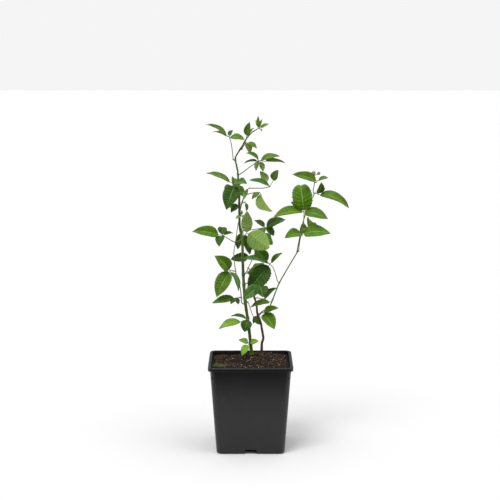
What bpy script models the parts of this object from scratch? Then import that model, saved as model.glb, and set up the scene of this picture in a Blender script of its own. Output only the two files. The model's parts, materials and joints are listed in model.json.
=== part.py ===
"""A young thornless bramble in a square nursery pot.

Metres, +Z up. The origin is the centre of the pot's flat underside, +X is to the viewer's
right and -Y is towards the viewer. Canes are grown internode by internode from their feet.
Each compound leaf is one mass: its petiole springs from a cane, its stalks branch from the
petiole's end, and its leaflets are fused onto the stalks.
"""
import math
import random

import bmesh
import bpy
from mathutils import Vector

GAP = 0.0003
VIEWER = Vector((0, -1, 0))
SKYWARD = Vector((0.2, 0, 1))

# The pot: a tapering square with rounded corners, a turned rim and four drain notches
POT_HEIGHT = 0.137
RIM_WIDTH = 0.130
RIM_DROP = 0.0056
RIM_LIP = 0.0012
NECK_WIDTH = 0.1235
FOOT_WIDTH = 0.105
FOOT_EDGE = 0.003
POT_CORNER = 0.0075
POT_WALL = 0.0014
CORNER_STEPS = 3
NOTCH_FOOT_WIDTH = 0.021
NOTCH_TOP_WIDTH = 0.017
NOTCH_HEIGHT = 0.007
NOTCH_DEPTH = 0.020
DRAIN_RADIUS = 0.003

# The compost: a rough bed with a low mound that the canes stand on
GROUND = 0.139
BED_LEVEL = 0.1315
BED_ROUGHNESS = 0.0012
MOUND_CENTRE = (0.011, 0.021)
MOUND_FLAT = 0.015
MOUND_REACH = 0.040
BED_CELLS = 11

# Limbs: internodes are (length, lean to the right, lean to the viewer), angles in degrees
MAIN_FOOT = (0.0015, 0.024)
MAIN_INTERNODES = [
    (0.040, -6, 0), (0.048, -7.5, 1), (0.048, -3.5, 1), (0.047, -1.5, 0), (0.020, -11, 2),
    (0.038, -1, 0), (0.034, -2.5, 1), (0.013, -4, 0), (0.019, -11, -4), (0.006, 17, 0),
    (0.018, 32, 4), (0.011, 29, 6), (0.013, 40, 2), (0.008, 56, 0),
]
OLD_FOOT = (0.0175, 0.018)
OLD_INTERNODES = [
    (0.017, 1, 0), (0.007, 18, 0), (0.025, -9, -2), (0.007, -18, 0), (0.011, -19, 2),
    (0.013, -5, 0), (0.018, -17, -3), (0.032, -10, -6), (0.005, 9, 0), (0.006, -43, 6),
]
SHOOT_INTERNODES = [
    (0.006, 48, 16), (0.013, 55, 8), (0.028, 22, 4), (0.013, 22, 0), (0.032, 29, 2),
    (0.024, 30, 2), (0.006, 8, 0), (0.036, 11, 3), (0.021, 14, 0), (0.007, -4, 0),
    (0.025, 32, 2), (0.007, -10, 0), (0.014, 10, 3), (0.008, -6, 0),
]
PALE_INTERNODES = [
    (0.006, -46, 40), (0.024, -5, 14), (0.027, -15, 4), (0.030, -6, 0), (0.015, 9, 0),
    (0.033, 8, 2), (0.009, 15, 4),
]
TWIG_INTERNODES = [
    (0.010, 10, 30), (0.008, 17, 16), (0.009, 15, 4), (0.009, 20, 0), (0.004, 53, 0),
]
DEAD_SPUR = (0.0055, 36, -10)
FLARE_HEIGHT = 0.008
FLARE_GAIN = 0.45
LIMB_STEP = 0.012
LIMB_SIDES = 2

# Leaves
PETIOLE_RADIUS = 0.00065
PETIOLE_ROOT = 0.0012
PETIOLE_BEND = 0.0025
STALK_WIDTH = 0.0009
STALK_ROOT = 0.0004
BLADE_THICKNESS = 0.0007
BLADE_STATIONS = (0.18, 0.48, 0.80, 1.0)
LIMB_CLEARANCE = 0.0012

# Each leaf: (name, limb, height of its node above the compost, junction, leaflets).
# The junction is where the petiole ends, as (right, back, above the compost).
# Each leaflet: (heading in the picture's plane, lean to the viewer, reach, stalk, width, turn),
# where turn is 0 with the upper side to the viewer, 90 with it to the sky and 180 turned away.
# A leaflet that departs from the rule adds its own arch and fold.
LEAVES = [
    ("leaf_top_left", "main_cane", 0.307, (-0.033, 0.018, 0.343), [
        (151, 10, 0.041, 0.005, 0.013, 58), (166, -30, 0.031, 0.005, 0.010, 70),
        (63, -45, 0.016, 0.002, 0.009, 40), (-9, 25, 0.027, 0.002, 0.015, 50)]),
    ("leaf_top_upright", "main_cane", 0.334, (-0.006, 0.013, 0.344), [
        (78, 15, 0.024, 0.001, 0.013, 30), (47, -30, 0.020, 0.005, 0.009, 65)]),
    ("leaf_top_small", "main_cane", 0.324, (-0.006, 0.008, 0.335), [
        (-29, 20, 0.019, 0.002, 0.012, 50), (-76, -25, 0.020, 0.002, 0.013, 150)]),
    ("leaf_upper_right", "main_cane", 0.285, (0.013, 0.008, 0.307), [
        (13, 10, 0.033, 0.003, 0.015, 55), (-6, -15, 0.043, 0.010, 0.013, 65),
        (148, 20, 0.025, 0.002, 0.013, 60), (-169, -10, 0.025, 0.003, 0.010, 70),
        (-108, 30, 0.018, 0.002, 0.012, 130), (-70, 10, 0.018, 0.002, 0.012, 140)]),
    ("leaf_upper_left", "main_cane", 0.262, (-0.024, 0.011, 0.271), [
        (158, 10, 0.048, 0.009, 0.018, 65), (8, 50, 0.029, 0.002, 0.019, 62),
        (-109, 20, 0.043, 0.003, 0.028, 12)]),
    ("leaf_upper_small", "main_cane", 0.240, (-0.018, 0.015, 0.239), [
        (-156, -10, 0.016, 0.002, 0.009, 70), (-137, 25, 0.019, 0.002, 0.012, 40)]),
    ("leaf_twig_low", "axillary_twig", 0.243, (-0.008, 0.007, 0.244), [
        (-84, 10, 0.015, 0.002, 0.008, 45)]),
    ("leaf_young_tip", "pale_shoot", None, (-0.0150, 0.0060, 0.223), [
        (-150, 20, 0.010, 0.001, 0.006, 40), (-35, 30, 0.011, 0.001, 0.006, 40),
        (80, 10, 0.009, 0.001, 0.005, 30)]),
    ("leaf_twig_upper", "axillary_twig", None, (0.030, 0.012, 0.267), [
        (64, 5, 0.029, 0.011, 0.015, 35), (124, -15, 0.029, 0.009, 0.014, 160),
        (162, 20, 0.037, 0.002, 0.015, 62)]),
    ("leaf_twig_hanging", "axillary_twig", 0.256, (0.014, 0.002, 0.259), [
        (-55, 20, 0.036, 0.003, 0.030, -115, 30, 50), (-140, 10, 0.016, 0.001, 0.011, 50)]),
    ("leaf_twig_small", "axillary_twig", 0.260, (-0.004, 0.000, 0.264), [
        (-113, 15, 0.017, 0.001, 0.009, 150)]),
    ("leaf_shoot_tip_left", "side_shoot", 0.274, (0.102, 0.001, 0.277), [
        (165, 15, 0.042, 0.002, 0.019, 40), (16, 20, 0.019, 0.002, 0.010, 55)]),
    ("leaf_shoot_tip_right", "side_shoot", 0.257, (0.104, 0.003, 0.256), [
        (-24, 10, 0.052, 0.003, 0.020, 45, 85, 20), (79, 25, 0.022, 0.002, 0.015, 30)]),
    ("leaf_shoot_upper", "side_shoot", 0.210, (0.082, 0.003, 0.229), [
        (97, -30, 0.045, 0.003, 0.038, 0, 110, 30), (-171, 20, 0.052, 0.003, 0.022, 50),
        (-14, 30, 0.043, 0.002, 0.022, 38), (144, -12, 0.026, 0.003, 0.013, 40)]),
    ("leaf_shoot_middle", "side_shoot", 0.166, (0.080, 0.001, 0.196), [
        (2, 20, 0.045, 0.002, 0.024, 40), (-170, 35, 0.035, 0.002, 0.022, 50)]),
    ("leaf_far_left", "pale_shoot", 0.181, (-0.044, 0.008, 0.192), [
        (171, 15, 0.048, 0.006, 0.022, 38), (93, -60, 0.021, 0.002, 0.017, 10),
        (-105, 45, 0.023, 0.002, 0.017, 25), (6, -30, 0.020, 0.003, 0.009, 60)]),
    ("leaf_pale_centre", "pale_shoot", 0.182, (-0.006, -0.002, 0.197), [
        (89, 14, 0.036, 0.001, 0.019, 180, 15, 10), (-31, 25, 0.045, 0.003, 0.036, 188)]),
    ("leaf_behind_centre", "main_cane", 0.196, (0.023, 0.034, 0.201), [
        (22, 10, 0.035, 0.002, 0.020, 50), (149, -20, 0.021, 0.002, 0.012, 50),
        (-44, -20, 0.021, 0.002, 0.015, 40)]),
    ("leaf_behind_cane", "main_cane", 0.200, (-0.013, 0.036, 0.196), [
        (-103, -10, 0.032, 0.005, 0.013, 20), (-73, -15, 0.043, 0.008, 0.015, 20)]),
    ("leaf_middle_left", "main_cane", 0.150, (-0.001, 0.032, 0.155), [
        (-171, -8, 0.031, 0.002, 0.016, 20), (-150, -50, 0.024, 0.003, 0.015, 40)]),
    ("leaf_middle_large", "side_shoot", 0.117, (0.030, 0.009, 0.147), [
        (-129, -6, 0.054, 0.004, 0.035, 5), (165, 25, 0.048, 0.003, 0.020, 65),
        (139, -15, 0.034, 0.006, 0.022, 30), (43, 10, 0.027, 0.003, 0.012, 55)]),
    ("leaf_inner_front", "main_cane", 0.090, (0.013, -0.018, 0.118), [
        (-139, 15, 0.033, 0.002, 0.021, 20), (-70, 45, 0.024, 0.002, 0.025, 25)]),
    ("leaf_left_large", "pale_shoot", 0.136, (-0.032, 0.004, 0.138), [
        (-117, 15, 0.047, 0.003, 0.028, 22), (134, 20, 0.036, 0.002, 0.024, 30),
        (-65, 40, 0.041, 0.003, 0.016, 60)]),
    ("leaf_lower_left_small", "pale_shoot", 0.094, (-0.023, 0.006, 0.094), [
        (-169, 10, 0.038, 0.003, 0.016, 40), (-137, 50, 0.017, 0.002, 0.010, 30),
        (-65, 40, 0.013, 0.001, 0.009, 30)]),
    ("leaf_inner_right", "old_cane", 0.091, (0.021, 0.015, 0.091), [
        (45, 22, 0.030, 0.001, 0.013, 50)]),
    ("leaf_shoot_low", "side_shoot", 0.089, (0.033, -0.007, 0.091), [
        (-168, 20, 0.036, 0.004, 0.015, 60)]),
    ("leaf_lower_right", "old_cane", 0.064, (0.019, 0.005, 0.071), [
        (-52, 30, 0.034, 0.003, 0.025, 30), (20, 20, 0.028, 0.002, 0.014, 50)]),
    ("leaf_lower_inner", "main_cane", 0.084, (0.004, 0.030, 0.061), [
        (-51, -15, 0.020, 0.002, 0.013, 30), (-84, -40, 0.018, 0.003, 0.011, 40)]),
    ("leaf_lower_left", "main_cane", 0.058, (-0.004, 0.013, 0.059), [
        (-164, 15, 0.049, 0.013, 0.020, 60), (172, -10, 0.028, 0.004, 0.014, 75),
        (-106, 20, 0.021, 0.002, 0.020, 10)]),
    ("leaf_base", "main_cane", 0.018, (-0.002, 0.012, 0.021), [
        (162, 10, 0.018, 0.002, 0.011, 45), (15, 15, 0.016, 0.002, 0.011, 45),
        (-125, 40, 0.026, 0.005, 0.014, 30)]),
    ("leaf_rear_low", "main_cane", 0.112, (0.010, 0.048, 0.124), [
        (60, -62, 0.034, 0.003, 0.021, 40), (-40, -58, 0.032, 0.003, 0.020, 40),
        (170, -66, 0.030, 0.003, 0.019, 40)]),
    ("leaf_rear_middle", "main_cane", 0.128, (0.016, 0.050, 0.180), [
        (70, -60, 0.032, 0.003, 0.021, 40), (-20, -56, 0.036, 0.003, 0.022, 40),
        (-160, -66, 0.030, 0.003, 0.019, 40)]),
    ("leaf_rear_high", "main_cane", 0.250, (-0.026, 0.044, 0.262), [
        (95, -66, 0.032, 0.003, 0.020, 40), (-38, -40, 0.028, 0.003, 0.018, 40),
        (-140, -60, 0.034, 0.003, 0.020, 40)]),
    ("leaf_rear_right", "side_shoot", 0.200, (0.090, 0.034, 0.200), [
        (80, -66, 0.030, 0.003, 0.019, 40), (-20, -56, 0.034, 0.003, 0.020, 40),
        (-150, -60, 0.028, 0.003, 0.018, 40)]),
    ("leaf_tip_tuft", "main_cane", None, (0.0130, 0.0195, 0.356), [
        (112, -20, 0.015, 0.002, 0.006, 20), (94, 10, 0.020, 0.002, 0.0065, -15),
        (70, 25, 0.017, 0.002, 0.006, 30), (24, 0, 0.017, 0.003, 0.0065, 35),
        (-45, 50, 0.010, 0.001, 0.005, 60)]),
]

# The two flower buds at the side shoot's tip: (offset from the tip, radius)
BUDS = [((-0.001, -0.001, 0.0035), 0.0030), ((0.0065, -0.003, 0.0035), 0.0024)]
BUD_STALK_RADIUS = 0.0006

COLOURS = {
    "pot_plastic": ((0.012, 0.013, 0.013, 1), 0.42),
    "compost": ((0.035, 0.018, 0.010, 1), 0.95),
    "green_cane": ((0.10, 0.20, 0.025, 1), 0.5),
    "old_cane_bark": ((0.11, 0.060, 0.028, 1), 0.75),
    "leaf": ((0.11, 0.26, 0.020, 1), 0.5),
    "bud": ((0.45, 0.33, 0.18, 1), 0.8),
}


def clear_scene():
    """Remove every object that the file starts with."""
    for item in list(bpy.data.objects):
        bpy.data.objects.remove(item, do_unlink=True)


def new_collection(name):
    """Add a collection under the scene's own."""
    made = bpy.data.collections.new(name)
    bpy.context.scene.collection.children.link(made)
    return made


def make_material(name):
    """A plain Principled material from the table of colours."""
    colour, roughness = COLOURS[name]
    material = bpy.data.materials.new(name)
    material.use_nodes = True
    shader = material.node_tree.nodes["Principled BSDF"]
    shader.inputs["Base Color"].default_value = colour
    shader.inputs["Roughness"].default_value = roughness
    material.diffuse_color = colour
    return material


def add_object(name, bm, collection, material=None):
    """Turn a bmesh into an object of its own."""
    mesh = bpy.data.meshes.new(name)
    bm.to_mesh(mesh)
    bm.free()
    item = bpy.data.objects.new(name, mesh)
    collection.objects.link(item)
    if material is not None:
        mesh.materials.append(material)
    return item


def bake(item):
    """Replace an object's mesh by its evaluated one and drop its modifiers."""
    graph = bpy.context.evaluated_depsgraph_get()
    graph.update()
    mesh = bpy.data.meshes.new_from_object(item.evaluated_get(graph))
    item.modifiers.clear()
    item.data = mesh


def as_cutter(item):
    """Mark an object as a cutter that isn't part of the model."""
    item.hide_render = True
    item.display_type = "WIRE"
    return item


def add_boolean(item, operation, cutter):
    """Add an exact Boolean modifier against one object."""
    modifier = item.modifiers.new(operation.lower(), "BOOLEAN")
    modifier.operation = operation
    modifier.solver = "EXACT"
    modifier.object = cutter


def rounded_square(bm, width, corner, height):
    """A flat square face with rounded corners at the given height."""
    half = width / 2
    corners = [(-half, -half), (half, -half), (half, half), (-half, half)]
    verts = [bm.verts.new((x, y, height)) for x, y in corners]
    bm.faces.new(verts)
    bmesh.ops.bevel(
        bm, geom=verts, offset=corner, offset_type="OFFSET", segments=CORNER_STEPS,
        profile=0.5, affect="VERTICES")
    bm.faces.ensure_lookup_table()
    return bm.faces[0]


def tapered_block(profile, corner):
    """A closed block through rounded squares, from (width, height) pairs upwards."""
    bm = bmesh.new()
    foot = face = rounded_square(bm, profile[0][0], corner, profile[0][1])
    for (width, _), (next_width, next_height) in zip(profile, profile[1:]):
        grown = bmesh.ops.extrude_face_region(bm, geom=[face])
        if face is not foot:
            bmesh.ops.delete(bm, geom=[face], context="FACES_ONLY")
        ring = [part for part in grown["geom"] if isinstance(part, bmesh.types.BMVert)]
        face = next(part for part in grown["geom"] if isinstance(part, bmesh.types.BMFace))
        scale = next_width / width
        for vert in ring:
            vert.co = Vector((vert.co.x * scale, vert.co.y * scale, next_height))
    bmesh.ops.recalc_face_normals(bm, faces=bm.faces)
    return bm


def widths_at(offset):
    """The body's (width, height) profile, moved outwards by an offset."""
    grow = 2 * offset
    return [
        (FOOT_WIDTH - 2 * FOOT_EDGE + grow, -offset),
        (FOOT_WIDTH - 0.6 * FOOT_EDGE + grow, 0.3 * FOOT_EDGE - offset),
        (FOOT_WIDTH + grow, FOOT_EDGE - offset),
        (NECK_WIDTH + grow, POT_HEIGHT - RIM_DROP),
    ]


def notch_bars(grow, reach, collection, name):
    """Four trapezoid bars, one across the middle of each bottom edge, as one mesh."""
    bm = bmesh.new()
    foot = NOTCH_FOOT_WIDTH / 2 + grow
    top = NOTCH_TOP_WIDTH / 2 + grow
    roof = NOTCH_HEIGHT + grow
    sunk = -0.010
    spread = foot + (foot - top) * (-sunk) / roof
    for quarter in range(4):
        block = bmesh.ops.create_cube(bm, size=1.0)["verts"]
        turn = math.radians(90 * quarter)
        for vert in block:
            half = top if vert.co.z > 0 else spread
            x = half if vert.co.x > 0 else -half
            y = -reach if vert.co.y < 0 else -(FOOT_WIDTH / 2 - NOTCH_DEPTH - grow)
            z = roof if vert.co.z > 0 else sunk
            vert.co = Vector((
                x * math.cos(turn) - y * math.sin(turn),
                x * math.sin(turn) + y * math.cos(turn), z))
    bmesh.ops.recalc_face_normals(bm, faces=bm.faces)
    return as_cutter(add_object(name, bm, collection))


def make_pot(parts, cutters):
    """The shell: an outer block less its notches, less an inner block that clears them."""
    outer_profile = widths_at(0.0) + [
        (NECK_WIDTH, POT_HEIGHT - RIM_DROP + 0.0002),
        (RIM_WIDTH, POT_HEIGHT - RIM_DROP + 0.0004),
        (RIM_WIDTH, POT_HEIGHT - 0.0008),
        (RIM_WIDTH - 0.0016, POT_HEIGHT),
    ]
    pot = add_object("pot", tapered_block(outer_profile, POT_CORNER), parts,
                     make_material("pot_plastic"))
    inner_top = NECK_WIDTH - 2 * POT_WALL + 0.0006
    inner_profile = widths_at(-POT_WALL) + [(inner_top, POT_HEIGHT + 0.010)]
    inner = as_cutter(add_object(
        "inside_cutter", tapered_block(inner_profile, POT_CORNER - POT_WALL), cutters))
    add_boolean(inner, "DIFFERENCE",
                notch_bars(POT_WALL, FOOT_WIDTH, cutters, "notch_cover_cutter"))
    bake(inner)

    groove = tapered_block([
        (RIM_WIDTH - 2 * RIM_LIP, POT_HEIGHT - 2 * RIM_DROP),
        (RIM_WIDTH - 2 * RIM_LIP, POT_HEIGHT - RIM_LIP)], POT_CORNER - RIM_LIP)
    groove = as_cutter(add_object("rim_groove_cutter", groove, cutters))
    core = tapered_block([
        (NECK_WIDTH - 0.0008, POT_HEIGHT - 3 * RIM_DROP),
        (NECK_WIDTH + 0.0004, POT_HEIGHT)], POT_CORNER)
    core = as_cutter(add_object("rim_core_cutter", core, cutters))
    add_boolean(groove, "DIFFERENCE", core)
    bake(groove)

    add_boolean(pot, "DIFFERENCE", notch_bars(0.0, FOOT_WIDTH, cutters, "notch_cutter"))
    add_boolean(pot, "DIFFERENCE", inner)
    add_boolean(pot, "DIFFERENCE", groove)
    drains = bmesh.new()
    for quarter in range(4):
        hole = bmesh.ops.create_cone(
            drains, cap_ends=True, segments=12, radius1=DRAIN_RADIUS, radius2=DRAIN_RADIUS,
            depth=0.010)["verts"]
        turn = math.radians(90 * quarter)
        away = FOOT_WIDTH / 2 - NOTCH_DEPTH / 2
        centre = Vector((away * math.sin(turn), -away * math.cos(turn), NOTCH_HEIGHT))
        bmesh.ops.translate(drains, verts=hole, vec=centre)
    add_boolean(pot, "DIFFERENCE", as_cutter(add_object("drain_cutter", drains, cutters)))
    bake(pot)


def bed_height(x, y, rng):
    """The compost's height: rough near the walls, rising to a flat mound at the canes."""
    away = math.dist((x, y), MOUND_CENTRE)
    fade = min(max((away - MOUND_FLAT) / MOUND_REACH, 0.0), 1.0)
    fall = fade * fade * (3 - 2 * fade)
    rough = rng.uniform(-BED_ROUGHNESS, BED_ROUGHNESS) * min(1.0, 3 * fade)
    return GROUND + (BED_LEVEL - GROUND) * fall + rough


def make_compost(parts, cutters):
    """The compost: a heightfield block cut to the pot's inside, clear of its walls."""
    rng = random.Random("compost")
    bm = bmesh.new()
    bmesh.ops.create_grid(bm, x_segments=BED_CELLS, y_segments=BED_CELLS, size=RIM_WIDTH / 2)
    for vert in bm.verts:
        vert.co.z = bed_height(vert.co.x, vert.co.y, rng)
    grown = bmesh.ops.extrude_face_region(bm, geom=list(bm.faces))
    for part in grown["geom"]:
        if isinstance(part, bmesh.types.BMVert):
            part.co.z = -POT_WALL
    bmesh.ops.recalc_face_normals(bm, faces=bm.faces)
    bed = add_object("compost", bm, parts, make_material("compost"))
    inset = POT_WALL + GAP
    profile = widths_at(-inset)
    profile.append((profile[-1][0], POT_HEIGHT + 0.010))
    room = as_cutter(add_object(
        "room_cutter", tapered_block(profile, POT_CORNER - POT_WALL), cutters))
    add_boolean(bed, "INTERSECT", room)
    add_boolean(bed, "DIFFERENCE",
                notch_bars(inset, FOOT_WIDTH, cutters, "compost_notch_cutter"))
    bake(bed)


def step_along(length, lean, toward):
    """One internode's step: leaning to the right and to the viewer, in degrees."""
    lean, toward = math.radians(lean), math.radians(toward)
    return Vector((
        math.sin(lean) * math.cos(toward), -math.sin(toward),
        math.cos(lean) * math.cos(toward))) * length


def walk(start, internodes):
    """The nodes that a run of internodes passes through."""
    points = [start]
    for length, lean, toward in internodes:
        points.append(points[-1] + step_along(length, lean, toward))
    return points


def smoothed(points, step):
    """Points along a Catmull-Rom curve through the nodes, about a step apart."""
    path = [points[0]]
    for i in range(len(points) - 1):
        before = points[max(i - 1, 0)]
        here, after = points[i], points[i + 1]
        beyond = points[min(i + 2, len(points) - 1)]
        spans = max(1, round((after - here).length / step))
        for k in range(1, spans + 1):
            t = k / spans
            path.append(0.5 * (
                2 * here + (after - before) * t
                + (2 * before - 5 * here + 4 * after - beyond) * t ** 2
                + (3 * here - before - 3 * after + beyond) * t ** 3))
    return path


def tapered_radii(path, foot_radius, tip_radius, flare):
    """A radius for each point: full near the foot, falling faster towards the tip."""
    travelled = [0.0]
    for here, after in zip(path, path[1:]):
        travelled.append(travelled[-1] + (after - here).length)
    radii = []
    for distance in travelled:
        share = distance / travelled[-1]
        radius = tip_radius + (foot_radius - tip_radius) * (1 - share ** 1.8)
        if flare and distance < FLARE_HEIGHT:
            radius *= 1 + FLARE_GAIN * (1 - distance / FLARE_HEIGHT) ** 2
        radii.append(radius)
    return radii


def tube(name, path, radii, collection, sides):
    """A closed tube along a path, made as a bevelled curve and turned into a mesh."""
    curve = bpy.data.curves.new(name + "_curve", "CURVE")
    curve.dimensions = "3D"
    curve.bevel_depth = 1.0
    curve.bevel_resolution = sides
    curve.use_fill_caps = True
    spline = curve.splines.new("POLY")
    spline.points.add(len(path) - 1)
    for point, place, radius in zip(spline.points, path, radii):
        point.co = (*place, 1.0)
        point.radius = radius
    holder = bpy.data.objects.new(name + "_curve", curve)
    collection.objects.link(holder)
    graph = bpy.context.evaluated_depsgraph_get()
    graph.update()
    mesh = bpy.data.meshes.new_from_object(holder.evaluated_get(graph))
    mesh.name = name
    bpy.data.objects.remove(holder, do_unlink=True)
    bm = bmesh.new()
    bm.from_mesh(mesh)
    bmesh.ops.remove_doubles(bm, verts=bm.verts, dist=0.00002)
    bmesh.ops.recalc_face_normals(bm, faces=bm.faces)
    bm.to_mesh(mesh)
    bm.free()
    item = bpy.data.objects.new(name, mesh)
    collection.objects.link(item)
    return item


def fuse(item, others):
    """Join loose closed pieces to an object by one union on a collection."""
    if not others:
        return
    pieces = new_collection(item.name + "_pieces")
    for other in others:
        for owner in list(other.users_collection):
            owner.objects.unlink(other)
        pieces.objects.link(other)
    union = item.modifiers.new("union", "BOOLEAN")
    union.operation = "UNION"
    union.operand_type = "COLLECTION"
    union.collection = pieces
    union.solver = "EXACT"
    bake(item)
    for other in list(pieces.objects):
        bpy.data.objects.remove(other, do_unlink=True)
    bpy.data.collections.remove(pieces)


class Limb:
    """A cane or twig: its path and radii, kept so that others can spring from it."""

    def __init__(self, name, path, foot_radius, tip_radius, flare=False):
        self.name = name
        self.path = path
        self.radii = tapered_radii(path, foot_radius, tip_radius, flare)

    def side_start(self, height, target):
        """A point just clear of the limb's side, and the square way out towards a target."""
        level = GROUND + height
        for i in range(len(self.path) - 1):
            low, high = self.path[i], self.path[i + 1]
            if low.z <= level <= high.z:
                break
        share = (level - low.z) / (high.z - low.z)
        centre = low.lerp(high, share)
        radius = self.radii[i] + (self.radii[i + 1] - self.radii[i]) * share
        along = (high - low).normalized()
        outward = Vector((target.x - centre.x, target.y - centre.y, 0))
        outward = (outward - along * outward.dot(along)).normalized()
        return centre + outward * (radius + GAP), outward

    def tip_start(self):
        """A point just past the limb's tip, and the way the limb points there."""
        ahead = (self.path[-1] - self.path[-2]).normalized()
        return self.path[-1] + ahead * GAP, ahead

    def is_near(self, point, clearance):
        """Whether a point lies within a clearance of the limb's surface."""
        for i in range(len(self.path) - 1):
            run = self.path[i + 1] - self.path[i]
            share = (point - self.path[i]).dot(run) / run.length_squared
            share = min(max(share, 0.0), 1.0)
            nearest = self.path[i] + run * share
            if (point - nearest).length < self.radii[i] + clearance:
                return True
        return False


def standing_limb(name, foot, internodes, foot_radius, tip_radius):
    """A cane that stands on the mound on a flat cut, flared at its foot."""
    ground = Vector((foot[0], foot[1], GROUND + GAP))
    base = [ground, ground + Vector((0, 0, 0.003))]
    path = base + smoothed(walk(base[1], internodes), LIMB_STEP)[1:]
    return Limb(name, path, foot_radius, tip_radius, flare=True)


def springing_limb(name, carrier, height, internodes, foot_radius, tip_radius):
    """A shoot that springs from the side of another limb, just clear of it."""
    far = step_along(1.0, *internodes[0][1:])
    start, outward = carrier.side_start(height, far)
    away = start + outward * 0.0015
    path = [start] + smoothed(walk(away, internodes), LIMB_STEP)
    return Limb(name, path, foot_radius, tip_radius)


def make_limbs():
    """Every cane, shoot and twig, by name."""
    main = standing_limb("main_cane", MAIN_FOOT, MAIN_INTERNODES, 0.0025, 0.0008)
    old = standing_limb("old_cane", OLD_FOOT, OLD_INTERNODES, 0.0020, 0.0007)
    shoot = springing_limb("side_shoot", old, 0.066, SHOOT_INTERNODES, 0.0010, 0.0006)
    pale = springing_limb("pale_shoot", main, 0.082, PALE_INTERNODES, 0.0008, 0.0005)
    twig = springing_limb("axillary_twig", main, 0.228, TWIG_INTERNODES, 0.0010, 0.0006)
    return {limb.name: limb for limb in (main, old, shoot, pale, twig)}


def outline(t):
    """Half the width of an ovate, pointed leaflet along its length, 1 at its widest."""
    return 3.10 * t ** 0.65 * (1 - t) ** 1.05


def leaflet_axes(heading, toward, turn):
    """The way a leaflet points and the way its upper side faces."""
    heading, toward, turn = (math.radians(angle) for angle in (heading, toward, turn))
    along = Vector((
        math.cos(toward) * math.cos(heading), -math.sin(toward),
        math.cos(toward) * math.sin(heading)))
    shown = (VIEWER - along * VIEWER.dot(along)).normalized()
    upward = along.cross(shown)
    if upward.dot(SKYWARD) < 0:
        upward.negate()
    return along, shown * math.cos(turn) + upward * math.sin(turn)


class Leaflet:
    """A leaflet of a mass: where it starts, how it points and how it is folded and arched."""

    def __init__(self, junction, values, rng):
        heading, toward, self.reach, self.stalk, self.width, turn = values[:6]
        arch, fold = rng.uniform(30, 60), rng.uniform(12, 26)
        if len(values) > 6:
            arch, fold = values[6:]
        self.arch, self.fold = math.radians(arch), math.radians(fold)
        self.junction = junction
        self.along, self.face = leaflet_axes(heading, toward, turn)
        self.side = self.along.cross(self.face)

    def midrib(self, t):
        """A point on the midrib: an arc over the chord from the stalk's end to the tip."""
        chord = self.reach - self.stalk
        swing = self.arch * (t - 0.5)
        span = 2 * math.sin(self.arch / 2)
        ahead = self.stalk + chord * (math.sin(swing) / span + 0.5)
        above = chord * (math.cos(swing) - math.cos(self.arch / 2)) / span
        return self.junction + self.along * ahead + self.face * above

    def lift(self, t):
        """The way the blade faces at a point of its midrib."""
        swing = self.arch * (t - 0.5)
        return self.face * math.cos(swing) + self.along * math.sin(swing)

    def midline(self):
        """Points along the midrib, past the stalk."""
        return [self.midrib(t) for t in (0.3, 0.5, 0.7, 0.9, 1.0)]


def blade(leaflet, collection):
    """A leaflet's solid: a narrow stalk that widens to an ovate sheet, given its thickness."""
    root = leaflet.junction - leaflet.along * STALK_ROOT
    rows = [(root, leaflet.face, STALK_WIDTH / 2)]
    rows.append((leaflet.midrib(0), leaflet.lift(0), STALK_WIDTH / 2))
    for t in BLADE_STATIONS:
        rows.append((leaflet.midrib(t), leaflet.lift(t), 0.5 * leaflet.width * outline(t)))
    bm = bmesh.new()
    grid = []
    for middle, lift, half in rows:
        if half < BLADE_THICKNESS / 10:
            grid.append([bm.verts.new(middle)] * 3)
            continue
        across = leaflet.side * (half * math.cos(leaflet.fold))
        raised = lift * (half * math.sin(leaflet.fold))
        grid.append([bm.verts.new(middle + way * across + abs(way) * raised)
                     for way in (-1, 0, 1)])
    for low, high in zip(grid, grid[1:]):
        for k in range(2):
            corners = (low[k], low[k + 1], high[k + 1], high[k])
            bm.faces.new(list(dict.fromkeys(corners)))
    bmesh.ops.recalc_face_normals(bm, faces=bm.faces)
    item = add_object("leaflet", bm, collection)
    wall = item.modifiers.new("thickness", "SOLIDIFY")
    wall.thickness = BLADE_THICKNESS
    wall.offset = 0
    bake(item)
    return item


def petiole_path(start, outward, junction, arrive):
    """A curve that leaves a limb squarely and runs on towards the leaflets."""
    pull = (junction - start).length
    root = start + outward * PETIOLE_ROOT
    bend = min(0.35 * pull, PETIOLE_BEND)
    ways = (root, root + outward * bend, junction - arrive * (0.30 * pull), junction)
    count = 5 if pull > 0.010 else 3
    path = [start]
    for k in range(count + 1):
        t = k / count
        weights = ((1 - t) ** 3, 3 * t * (1 - t) ** 2, 3 * t * t * (1 - t), t ** 3)
        path.append(sum((way * weight for way, weight in zip(ways, weights)), Vector()))
    return path


def touches_limb(limbs, points):
    """Whether any of the points comes too near a limb."""
    return any(limb.is_near(point, LIMB_CLEARANCE) for limb in limbs.values()
               for point in points)


def make_leaf(row, limbs, parts, material):
    """One compound leaf: petiole, stalks and leaflets fused into a single body."""
    name, carrier, height, place, leaflets = row
    rng = random.Random(name)
    junction = Vector((place[0], place[1], GROUND + place[2]))
    if height is None:
        start, outward = limbs[carrier].tip_start()
    else:
        start, outward = limbs[carrier].side_start(height, junction)
    leaflets = [Leaflet(junction, values, rng) for values in leaflets]
    arrive = ((junction - start).normalized() + 0.6 * leaflets[0].along).normalized()
    path = petiole_path(start, outward, junction, arrive)
    path.append(junction + arrive * STALK_ROOT)
    leaf = tube(name, path, [PETIOLE_RADIUS] * len(path), parts, 0)
    leaf.data.materials.append(material)
    fuse(leaf, [blade(leaflet, parts) for leaflet in leaflets
                if not touches_limb(limbs, leaflet.midline())])


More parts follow.
